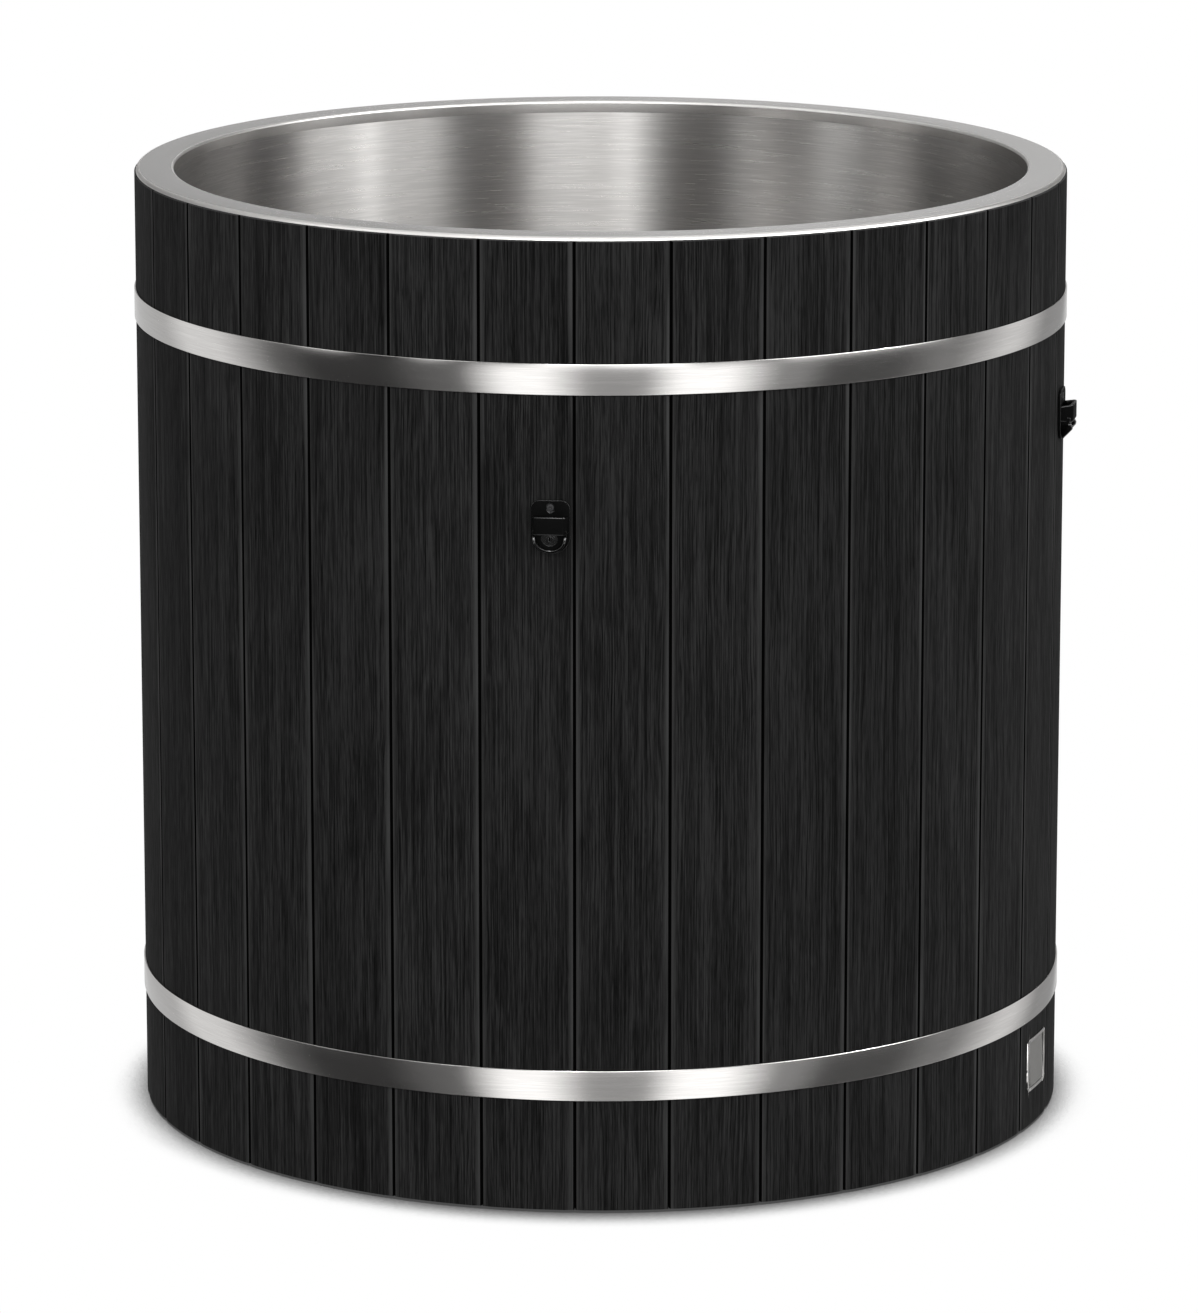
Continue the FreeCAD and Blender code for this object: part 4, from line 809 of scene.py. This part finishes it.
class TUB_OT_hoops(bpy.types.Operator):
    """Split steel hoops with bolted lugs."""

    bl_idname = "tub.hoops"
    bl_label = "Hoops"

    closure = math.radians(154.6)
    lug_gap = 16 * MM
    lug_reach = 22 * MM
    lug_thickness = 4 * MM
    lug_height = 26 * MM
    lug_corner = 5 * MM
    lug_edge = 0.4 * MM
    bolt_reach = 12 * MM
    bolt_hole = 4.4 * MM
    drill_length = 0.05
    band = 1.6 * MM
    band_steps = 380
    seat = 0.2 * MM

    def execute(self, context):
        sizes = context.scene.tub_sizes
        steel = shared("hoop_strip", context)
        blank = self.blank(sizes)
        for side in ("upper", "lower"):
            node = f"hoop_{side}"
            height = (low(node) + high(node)) / 2
            lift = Matrix.Translation((0, 0, height)) @ swing(self.closure)
            hoop = smooth(twin(blank, f"hoop_band_{side}", lift))
            finish_piece(paint(hoop, steel), "tub", "hoop_steel", node)
        bpy.data.objects.remove(blank)
        return {"FINISHED"}

    def blank(self, sizes):
        """A hoop about the origin, with its gap along +X."""
        inner = sizes.outer_radius + self.seat
        width = high("hoop_upper") - low("hoop_upper")
        middle = inner + self.band / 2
        piece = section("hoop_blank", (middle, 0, 0), self.band, width)
        edit(piece)
        pick(piece, "verts", lambda v: v.co.x > middle)
        bpy.ops.mesh.bevel(offset=sizes.hoop_edge, segments=3, affect="VERTICES")
        pick_all()
        turn = math.tau - self.lug_gap / inner
        bpy.ops.mesh.spin(steps=self.band_steps, angle=turn, center=(0, 0, 0), axis=(0, 0, 1))
        close()
        angles = [math.atan2(v.co.y, v.co.x) % math.tau for v in piece.data.vertices]
        piece.data.transform(Matrix.Rotation(math.pi - (min(angles) + max(angles)) / 2, 4, "Z"))
        lugs = [self.lug(middle, side) for side in (-1, 1)]
        return sound(joined("hoop_blank", [piece, *lugs]))

    def lug(self, root, side):
        """A plate that stands out beside the gap, rounded at its outer corners and drilled for the bolt."""
        tip = root + self.lug_reach + self.band / 2
        near, far = sorted((side * self.lug_gap / 2, side * (self.lug_gap / 2 + self.lug_thickness)))
        half = self.lug_height / 2
        plate = block_of("lug", (root, near, -half), (tip, far, half))
        edit(plate)
        pick(plate, "edges", lambda e: all(v.co.x > tip - NEAR for v in e.verts) and runs(e, 1))
        round_edges(self.lug_corner, 6)
        close()
        spot = (root + self.band / 2 + self.bolt_reach, (near + far) / 2, 0)
        cut(plate, rod("bolt_drill", self.bolt_hole, self.drill_length, spot, (math.pi / 2, 0, 0), sides=32))
        return soften(plate, self.lug_edge)


class TUB_OT_fixings(bpy.types.Operator):
    """Bolts and nuts of the hoops."""

    bl_idname = "tub.fixings"
    bl_label = "Hoop bolts"

    edge = 0.4 * MM

    def execute(self, context):
        bolts = paint(dressed("hoop_bolts_plated", "hoop_bolts", self.edge), shared("zinc_plate", context))
        finish_piece(bolts, "tub", "fixing_steel", "hoop_bolts")
        return {"FINISHED"}


class TUB_OT_latches(bpy.types.Operator):
    """Moulded latches, their locks and their screws."""

    bl_idname = "tub.latches"
    bl_label = "Latches"

    # Places are from the middle of a latch's back: out from the tub, along the staves and up.
    angles = {"front": 0.0, "side": math.radians(85)}
    seat = 0.15 * MM
    plate = Vector((3, 43, 58)) * MM
    corners = (10 * MM, 19 * MM)
    plate_edge = 1.3 * MM
    screw_rise = 21 * MM
    screw_edge = 0.2 * MM
    cross = Vector((3.6, 0.9, 1.6)) * MM
    recess = Vector((1.6, 8.4, 11.4)) * MM
    # Just under half, so that two roundings make a half circle and don't cross.
    half_round = 0.499
    washer_room = Vector((0, 0.5, 0.5)) * MM
    washer_thickness = 0.9 * MM
    washer_rim = 1.1 * MM
    washer_dish = 0.5 * MM
    block_low = Vector((1.5, -20, -7)) * MM
    block_high = Vector((17, 20, 13.6)) * MM
    block_fall = 2.6 * MM
    block_front = 34.5 / 40
    block_corner = 4 * MM
    mouth_low = Vector((3, -13, -2)) * MM
    mouth_high = Vector((13, 13, 20)) * MM
    mouth_edge = 2 * MM
    chin_radius = 18.5 * MM
    chin_middle = -10.4 * MM
    chin_length = 20 * MM
    chin_sides = 32
    collar_wall = 3 * MM
    collar_edge = 1.1 * MM
    # Faces of the collar: upright front, chin, tops of its arms and the flats that end them.
    collar_faces = (
        (Vector((16.4, 0, 0)) * MM, 0.0),
        (Vector((16.4, 0, -15.1)) * MM, math.radians(42)),
        (Vector((0, 0, -8.9)) * MM, math.radians(-90)),
        (Vector((16.4, 0, -12.2)) * MM, math.radians(-28)),
    )
    floor_face = (Vector((13.8, 0, -4)) * MM, math.radians(20))
    lock_spot = Vector((12.1, 0, -12)) * MM
    lock_seat = 9 * MM
    lock_sink = 2.8 * MM
    lock_rim = 0.25 * MM
    lock_edge = 0.5 * MM

    def execute(self, context):
        finishes = ("moulded_nylon", "burnished_nylon", "eased_nylon")
        self.finishes = [shared(name, context) for name in finishes]
        shells = [self.back_plate(), self.socket(), self.chin_floor(), self.collar()]
        blank, washer = sound(joined("latch_blank", shells)), self.washer()
        reach_out = context.scene.tub_sizes.outer_radius + self.seat
        places = {}
        for side, angle in self.angles.items():
            node = f"{side}_latch_base"
            height = (low(node) + high(node)) / 2
            places[side] = swing(angle) @ Matrix.Translation((reach_out, 0, height))
            housing = smooth(twin(blank, f"{side}_latch_housing", places[side]), CAST_CREASE)
            finish_piece(housing, "tub", "latch_plastic", node)
            node = f"{side}_lock_plug"
            barrel = dressed(f"{side}_lock_barrel", node)
            paint(barrel, shared("satin_nylon", context), self.finishes[1])
            smooth(soften(barrel, self.lock_edge, slot=1), CAST_CREASE)
            finish_piece(barrel, f"{side}_lock", "lock_plastic", node)
        screws = self.crossed_screws(places, reach_out)
        washers = [twin(washer, f"{side}_washer", place) for side, place in places.items()]
        screws = smooth(joined("latch_screws_blacked", [screws, *washers]), CAST_CREASE)
        finish_piece(paint(screws, shared("black_oxide", context)), "tub", "fixing_steel", "latch_screws")
        for start in (blank, washer):
            bpy.data.objects.remove(start)
        return {"FINISHED"}

    def crossed_screws(self, places, reach_out):
        """The screws, with a cross cut in each head."""
        screws = dressed("latch_screws_blacked", "latch_screws", self.screw_edge)
        head = -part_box("latch_screws")[0].y - reach_out
        long, wide, deep = self.cross / 2
        for place in places.values():
            for turn in (0.25 * math.pi, 0.75 * math.pi):
                tool = block_of("driver_tool", (head - deep, -long, -wide), (head + deep, long, wide))
                lift = Matrix.Translation((0, 0, self.screw_rise))
                tool.data.transform(place @ lift @ Matrix.Rotation(turn, 4, "X"))
                cut(screws, tool)
        return screws

    def oval(self, name, back, front, width, length):
        """An upright oval about the screw."""
        foot, top = self.screw_rise - length / 2, self.screw_rise + length / 2
        shape = block_of(name, (back, -width / 2, foot), (front, width / 2, top))
        edit(shape)
        pick(shape, "edges", lambda e: runs(e, 0))
        round_edges(self.half_round * width, 8)
        close()
        return shape

    def washer(self):
        """The oval washer in the recess, dished round the screw."""
        depth, width, length = self.recess - self.washer_room
        back = self.plate.x - depth
        shape = self.oval("latch_washer", back, back + self.washer_thickness, width, length)
        edit(shape)
        pick(shape, "faces", lambda f: f.normal.x > 0.9)
        bpy.ops.mesh.inset(thickness=self.washer_rim, depth=-self.washer_dish)
        close()
        return shape

    def moulded(self, shell, width, slot=1):
        """Gives a shell its finish and rounded edges, burnished or in the slot named."""
        return soften(paint(shell, *self.finishes), width, 3, slot=slot)

    def back_plate(self):
        """The plate on the staves, with its rounded corners and the recess round the screw."""
        half = self.plate / 2
        shell = block_of("latch_plate", (0, -half.y, -half.z), (self.plate.x, half.y, half.z))
        for side, corner in zip((1, -1), self.corners):
            edit(shell)
            pick(shell, "edges", lambda e: all(side * v.co.z > 0 for v in e.verts) and runs(e, 0))
            round_edges(corner, 10)
        depth, width, length = self.recess
        face = self.plate.x
        tool = self.oval("recess_tool", face - depth, 2 * face, width, length)
        return self.moulded(cut(shell, tool), self.plate_edge)

    def socket(self):
        """The block that takes the cover's tongue, narrower and higher at its front, and open at the top."""
        shell = block_of("latch_socket", self.block_low, self.block_high)
        front = self.block_high.x - NEAR
        edit(shell)
        pick(shell, "verts", lambda v: v.co.x > front)
        bpy.ops.transform.resize(value=(1, self.block_front, 1), center_override=(0, 0, 0))
        pick(shell, "verts", lambda v: v.co.x < front and v.co.z > 0)
        bpy.ops.transform.translate(value=(0, 0, -self.block_fall))
        pick(shell, "edges", lambda e: all(v.co.x > front for v in e.verts) and runs(e, 2))
        round_edges(self.block_corner, 5)
        close()
        cut(shell, block_of("mouth_tool", self.mouth_low, self.mouth_high))
        return self.moulded(shell, self.mouth_edge, 2)

    def round_foot(self, name, wall):
        """The chin's outline, round below and straight above, drawn out from the plate: solid, or a wall."""
        clear_selection()
        middle = self.chin_middle
        bpy.ops.mesh.primitive_circle_add(
            vertices=self.chin_sides,
            radius=self.chin_radius,
            fill_type="NGON",
            location=(self.block_low.x, 0, middle),
            rotation=(0, math.pi / 2, 0),
        )
        shell = settle(named(name))
        edit(shell)
        bisect_all((0, 0, middle), (0, 0, 1), clear_outer=True)
        pick(shell, "edges", lambda e: all(v.co.z > middle - NEAR / 10 for v in e.verts))
        draw_out((0, 0, self.mouth_low.z - middle))
        pick_all()
        bpy.ops.mesh.dissolve_limited(angle_limit=math.radians(1))
        bpy.ops.mesh.select_mode(type="FACE")
        pick_all()
        if wall:
            bpy.ops.mesh.inset(thickness=wall, depth=0, use_boundary=True)
            bpy.ops.mesh.delete(type="FACE")
            pick_all()
        draw_out((self.chin_length, 0, 0))
        close()
        return sound(shell)

    def lean(self, shell, face):
        """Cuts off what stands out past a face, which leans back by an angle towards its foot."""
        spot, tilt = face
        edit(shell)
        bisect_all(spot, (math.cos(tilt), 0, -math.sin(tilt)), clear_outer=True, use_fill=True)
        close()
        return sound(shell)

    def chin_floor(self):
        """The leant face below the socket, with the lock's seat sunk in it."""
        shell = self.lean(self.round_foot("latch_chin", 0), self.floor_face)
        turn = (0, math.pi / 2 + self.floor_face[1], 0)
        cut(shell, rod("lock_tool", self.lock_seat, self.lock_sink, self.lock_spot, turn))
        return self.moulded(shell, self.lock_rim)

    def collar(self):
        """The raised wall round the chin, open where it meets the socket."""
        shell = self.round_foot("latch_collar", self.collar_wall)
        for face in self.collar_faces:
            self.lean(shell, face)
        paint(shell, *self.finishes)
        # The flats that end the arms are burnished as the edges are.
        for face in shell.data.polygons:
            face.material_index = int(0.3 < face.normal.z < 0.9)
        return soften(shell, self.collar_edge, 3, slot=1)


class TUB_OT_badge(bpy.types.Operator):
    """Bare steel plate low on the side."""

    bl_idname = "tub.badge"
    bl_label = "Plate"

    angle = math.radians(75.9)
    border = 4 * MM
    step = 0.4 * MM
    sink = 0.5 * MM

    def execute(self, context):
        plate = dressed("badge_blank", "badge_plate")
        paint(plate, shared("hoop_strip", context), shared("blasted_steel", context))
        edit(plate)
        out = Vector((math.sin(self.angle), -math.cos(self.angle), 0))
        pick(plate, "faces", lambda f: f.normal.dot(out) > 0.95)
        bpy.ops.mesh.inset(thickness=self.border, depth=0)
        bpy.ops.mesh.inset(thickness=self.step, depth=-self.sink)
        paint_picked(plate, 1)
        close()
        finish_piece(smooth(plate), "tub", "badge_steel", "badge_plate")
        return {"FINISHED"}


class TUB_OT_drain(bpy.types.Operator):
    """Waste, strainer, locknut, elbow and pipe."""

    bl_idname = "tub.drain"
    bl_label = "Drain"

    # Each piece: its node, finish, slot and softened edge.
    rows = (
        ("drain_waste", "rim_sheet", "drain_steel", 0.3 * MM),
        ("drain_strainer", "rim_sheet", "drain_steel", 0.2 * MM),
        ("drain_locknut", "pipe_plastic", "pipe_plastic", 0.6 * MM),
        ("drain_elbow", "pipe_plastic", "pipe_plastic", 0.5 * MM),
        ("drain_pipe", "pipe_plastic", "pipe_plastic", 0.3 * MM),
    )

    def execute(self, context):
        for node, made, slot, edge in self.rows:
            piece = paint(dressed(f"{node}_dressed", node, edge), shared(made, context))
            finish_piece(piece, "tub", slot, node)
        return {"FINISHED"}


class TUB_OT_valve(bpy.types.Operator):
    """Ball valve: body, threaded outlet, ball, stem, lever with its grip, and nut."""

    bl_idname = "tub.valve"
    bl_label = "Drain valve"

    # Each piece: its node, finishes, body, slot and softened edge.
    rows = (
        ("valve_body", ("nickel_plate",), "tub", "valve_brass", 0.6 * MM),
        ("valve_outlet", ("nickel_plate",), "tub", "valve_brass", 0.5 * MM),
        ("valve_ball", ("chrome_plate",), "drain_handle", "ball_chrome", 0.3 * MM),
        ("valve_stem", ("chrome_plate",), "drain_handle", "ball_chrome", 0.2 * MM),
        ("valve_lever", ("lever_plate", "dipped_vinyl"), "drain_handle", "lever_steel", 0.8 * MM),
        ("lever_nut", ("zinc_plate",), "drain_handle", "fixing_steel", 0.4 * MM),
    )
    grip_start = 44 * MM
    thread_core = 15.5 * MM
    thread_root = 16.4 * MM
    thread_crest = 17.3 * MM
    thread_pitch = 2.3 * MM
    thread_turns = 7
    thread_end = 1.4 * MM
    thread_steps = 48
    # Where a crest starts and ends, as shares of the pitch.
    crest = (0.4, 0.6)

    def execute(self, context):
        for node, names, body, slot, edge in self.rows:
            finishes = [shared(name, context) for name in names]
            piece = paint(dressed(f"{node}_dressed", node, edge), *finishes)
            if node == "valve_outlet":
                piece = joined(piece.name, [piece, paint(self.thread(), *finishes)])
            if node == "valve_lever":
                self.dip_grip(piece)
            finish_piece(piece, body, slot, node)
        return {"FINISHED"}

    def thread(self):
        """The thread on the outlet's male end, for a hose union, drawn as rings."""
        profile = [(self.thread_core, 0.0)]
        for turn in range(self.thread_turns):
            foot = turn * self.thread_pitch
            profile += [(self.thread_root, foot)]
            profile += [(self.thread_crest, foot + share * self.thread_pitch) for share in self.crest]
        run = self.thread_turns * self.thread_pitch
        profile += [(self.thread_root, run), (self.thread_core, run)]
        rings = turned_piece("outlet_thread", profile, self.thread_steps)
        lower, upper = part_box("valve_outlet")
        middle = (lower + upper) / 2
        outward = Vector((middle.x, middle.y, 0)).normalized()
        tip = max(outward.dot(vertex.co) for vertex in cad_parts["valve_outlet"].data.vertices)
        start = outward * (tip - self.thread_end - run) + Vector((0, 0, middle.z))
        turn = outward.to_track_quat("Z", "Y").to_matrix().to_4x4()
        rings.data.transform(Matrix.Translation(start) @ turn)
        return smooth(rings, THREAD_CREASE)

    def dip_grip(self, lever):
        """Gives the lever's outer length the vinyl that it was dipped in."""
        lower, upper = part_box("valve_stem")
        stem = (lower + upper) / 2
        for face in lever.data.polygons:
            face.material_index = int((face.center - stem).xy.length > self.grip_start)


class TUB_OT_inside(bpy.types.Operator):
    """Materials of the insulation and the base, which keep their shapes."""

    bl_idname = "tub.inside"
    bl_label = "Insulation and base"

    rows = (
        ("cell_foam", ("wall_insulation", "floor_insulation")),
        ("sawn_spruce", ("base_board", "base_joists", "base_deck")),
    )

    def execute(self, context):
        for made, nodes in self.rows:
            for node in nodes:
                paint(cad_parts[node], shared(made, context))
        return {"FINISHED"}


class TUB_OT_stage(bpy.types.Operator):
    """Floor, studio light and camera."""

    bl_idname = "tub.stage"
    bl_label = "Stage"

    # Softboxes and flags round the tub, seen only in its gloss: from angle, to angle, brightness.
    # The angles are in degrees from the camera's side. The low ring stands in the hoops.
    low_ring = (
        (-180, -170, 0.7), (-160, -134, 0.6), (-122, -107, 1.0), (-87, -87, 0.18), (-74, -54, 0.05),
        (-42, -34, 0.16), (-23, -14, 1.75), (-3, 11, 0.44), (19, 31, 1.75), (44, 50, 0.33),
        (58, 78, 0.1), (92, 98, 0.28), (118, 125, 0.9), (140, 160, 0.36), (170, 179, 0.7),
    )
    # The high ring stands in the liner, and its far side in the rim.
    high_ring = (
        (-180, -172, 0.42), (-160, -130, 0.16), (-117, -117, 0.36), (-102, -102, 0.16), (-89, -89, 0.6),
        (-82, -82, 0.02), (-76, -67, 2.0), (-62, -49, 0.0), (-42, -42, 1.5), (-34, -20, 0.0),
        (-10, -5, 2.4), (0, 0, 2.0), (5, 17, 3.1), (24, 42, 0.02), (48, 68, 2.3), (84, 89, 3.5),
        (95, 112, 0.28), (118, 156, 0.0), (169, 179, 0.58),
    )
    # Brightness by height: a strip above the rings, as (height, times brighter), and the light overhead.
    strip = ((0.44, 1.0), (0.56, 3.2), (0.7, 3.2), (0.78, 1.0))
    overhead = 1.25
    # Soft light: the way to its fuller side, from the camera's side, and its strength opposite and there.
    soft_from = (0.6, -0.75, 0.3)
    soft_light = (0.55, 1.35)
    # Small lamps: name, angle from the front, rise and power, all aimed at one height of the tub.
    lamps = (
        ("glint_left", math.radians(-3), math.radians(42), 30.0),
        ("glint_right", math.radians(84), math.radians(36), 34.0),
    )
    lamp_size = 0.3
    lamp_distance = 4.0
    lamp_aim = Vector((0, 0, 0.75))
    floor_size = 80
    floor_cells = 8
    camera_angle = math.radians(5.82)
    camera_turn = math.radians(0.014)
    camera_distance = 7.930
    camera_height = 2.307
    camera_pitch = math.radians(12.77)
    camera_sight = 200
    lens = 191.7
    sensor = 36.0

    def execute(self, context):
        scene = context.scene
        scene.view_settings.view_transform = "Standard"
        self.light_world(scene)
        self.hang_lamps(scene)
        self.lay_floor(context)
        self.set_camera(scene)
        return {"FINISHED"}

    def ring_of_cards(self, tree, angle, cards):
        """Brightness round the horizon."""
        places = []
        for start, end, brightness in cards:
            places += [((edge + 180) / 360, grey(brightness)) for edge in sorted({start, end})]
        return add(tree, "ValToRGB", {"Fac": angle}, stops=places)

    def light_world(self, scene):
        """Soft light on the tub, the cards in its gloss, and white behind it."""
        world = bpy.data.worlds.new("studio")
        scene.world = world
        world.use_nodes = True
        world.cycles.sampling_method = "NONE"
        tree = world.node_tree
        tree.nodes.clear()
        path = add(tree, "LightPath", out=None)
        ray = add(tree, "TexCoord", out="Generated")
        ray = add(tree, "VectorRotate", {"Vector": ray, "Angle": -self.camera_angle}, rotation_type="Z_AXIS")
        part = add(tree, "SeparateXYZ", {"Vector": ray}, None)
        forward = add(tree, "Math", {0: part["Y"], 1: -1.0}, operation="MULTIPLY")
        turn = add(tree, "Math", {0: part["X"], 1: forward}, operation="ARCTAN2")
        angle = add(tree, "MapRange", {0: turn, 1: -math.pi, 2: math.pi})
        lower, upper = (self.ring_of_cards(tree, angle, ring) for ring in (self.low_ring, self.high_ring))
        rise = add(tree, "MapRange", {0: part["Z"], 2: 0.14})
        cards = add(tree, "Mix", {0: rise, 6: lower, 7: upper}, 2, data_type="RGBA")
        tones = [(height, grey(share)) for height, share in self.strip]
        strip = add(tree, "ValToRGB", {"Fac": part["Z"]}, stops=tones)
        cards = add(tree, "Mix", {0: 1.0, 6: cards, 7: strip}, 2, data_type="RGBA", blend_type="MULTIPLY")
        over = add(tree, "MapRange", {0: part["Z"], 1: 0.74, 2: 0.86})
        cards = add(tree, "Mix", {0: over, 6: cards, 7: rgba(grey(self.overhead))}, 2, data_type="RGBA")
        side = add(tree, "VectorMath", {0: ray, 1: self.soft_from}, "Value", operation="DOT_PRODUCT")
        away, there = self.soft_light
        soft = add(tree, "MapRange", {0: side, 1: -1.0, 2: 1.0, 3: away, 4: there})
        seen = add(tree, "Mix", {0: path["Is Glossy Ray"], 6: soft, 7: cards}, 2, data_type="RGBA")
        seen = add(tree, "Mix", {0: path["Is Camera Ray"], 6: seen, 7: rgba(grey(1.0))}, 2, data_type="RGBA")
        add(tree, "OutputWorld", {"Surface": add(tree, "Background", {"Color": seen})}, None)

    def hang_lamps(self, scene):
        """Small softboxes high in front, which put the glints on the latches."""
        for name, angle, rise, power in self.lamps:
            data = bpy.data.lights.new(name, "AREA")
            data.shape = "DISK"
            data.size = self.lamp_size
            data.energy = power
            lamp = bpy.data.objects.new(name, data)
            scene.collection.objects.link(lamp)
            flat = math.cos(rise)
            away = Vector((math.sin(angle) * flat, -math.cos(angle) * flat, math.sin(rise)))
            lamp.location = self.lamp_aim + self.lamp_distance * away
            lamp.rotation_euler = away.to_track_quat("Z", "Y").to_euler()

    def lay_floor(self, context):
        clear_selection()
        cells = self.floor_cells
        bpy.ops.mesh.primitive_grid_add(x_subdivisions=cells, y_subdivisions=cells, size=self.floor_size)
        floor = paint(settle(named("studio_floor")), shared("white_paper_floor", context))
        floor.visible_glossy = False

    def set_camera(self, scene):
        data = bpy.data.cameras.new("studio_camera")
        data.sensor_width = self.sensor
        data.lens = self.lens
        data.clip_end = self.camera_sight
        camera = bpy.data.objects.new("studio_camera", data)
        scene.collection.objects.link(camera)
        across = self.camera_distance * math.sin(self.camera_angle)
        forward = -self.camera_distance * math.cos(self.camera_angle)
        camera.location = (across, forward, self.camera_height)
        camera.rotation_euler = (math.pi / 2 - self.camera_pitch, 0, self.camera_angle + self.camera_turn)
        scene.camera = camera


class TUB_PT_panel(bpy.types.Panel):
    """Lists the tub's pieces."""

    bl_idname = "TUB_PT_panel"
    bl_label = "Plunge tub"
    bl_space_type = "VIEW_3D"
    bl_region_type = "UI"
    bl_category = "Plunge tub"

    def draw(self, context):
        for operator in OPERATORS:
            self.layout.operator(operator.bl_idname)


OPERATORS = (
    TUB_OT_staves,
    TUB_OT_rim,
    TUB_OT_liner,
    TUB_OT_hoops,
    TUB_OT_fixings,
    TUB_OT_latches,
    TUB_OT_badge,
    TUB_OT_drain,
    TUB_OT_valve,
    TUB_OT_inside,
    TUB_OT_stage,
)
CLASSES = (TubSizes, TubFinish, *OPERATORS, TUB_PT_panel)


def register():
    for made in CLASSES:
        bpy.utils.register_class(made)
    bpy.types.Scene.tub_sizes = PointerProperty(type=TubSizes)
    bpy.types.Scene.tub_finish = PointerProperty(type=TubFinish)


def unregister():
    del bpy.types.Scene.tub_finish
    del bpy.types.Scene.tub_sizes
    for made in reversed(CLASSES):
        bpy.utils.unregister_class(made)


def main():
    register()
    for operator in OPERATORS:
        group, name = operator.bl_idname.split(".")
        getattr(getattr(bpy.ops, group), name)()


if __name__ == "__main__":
    main()
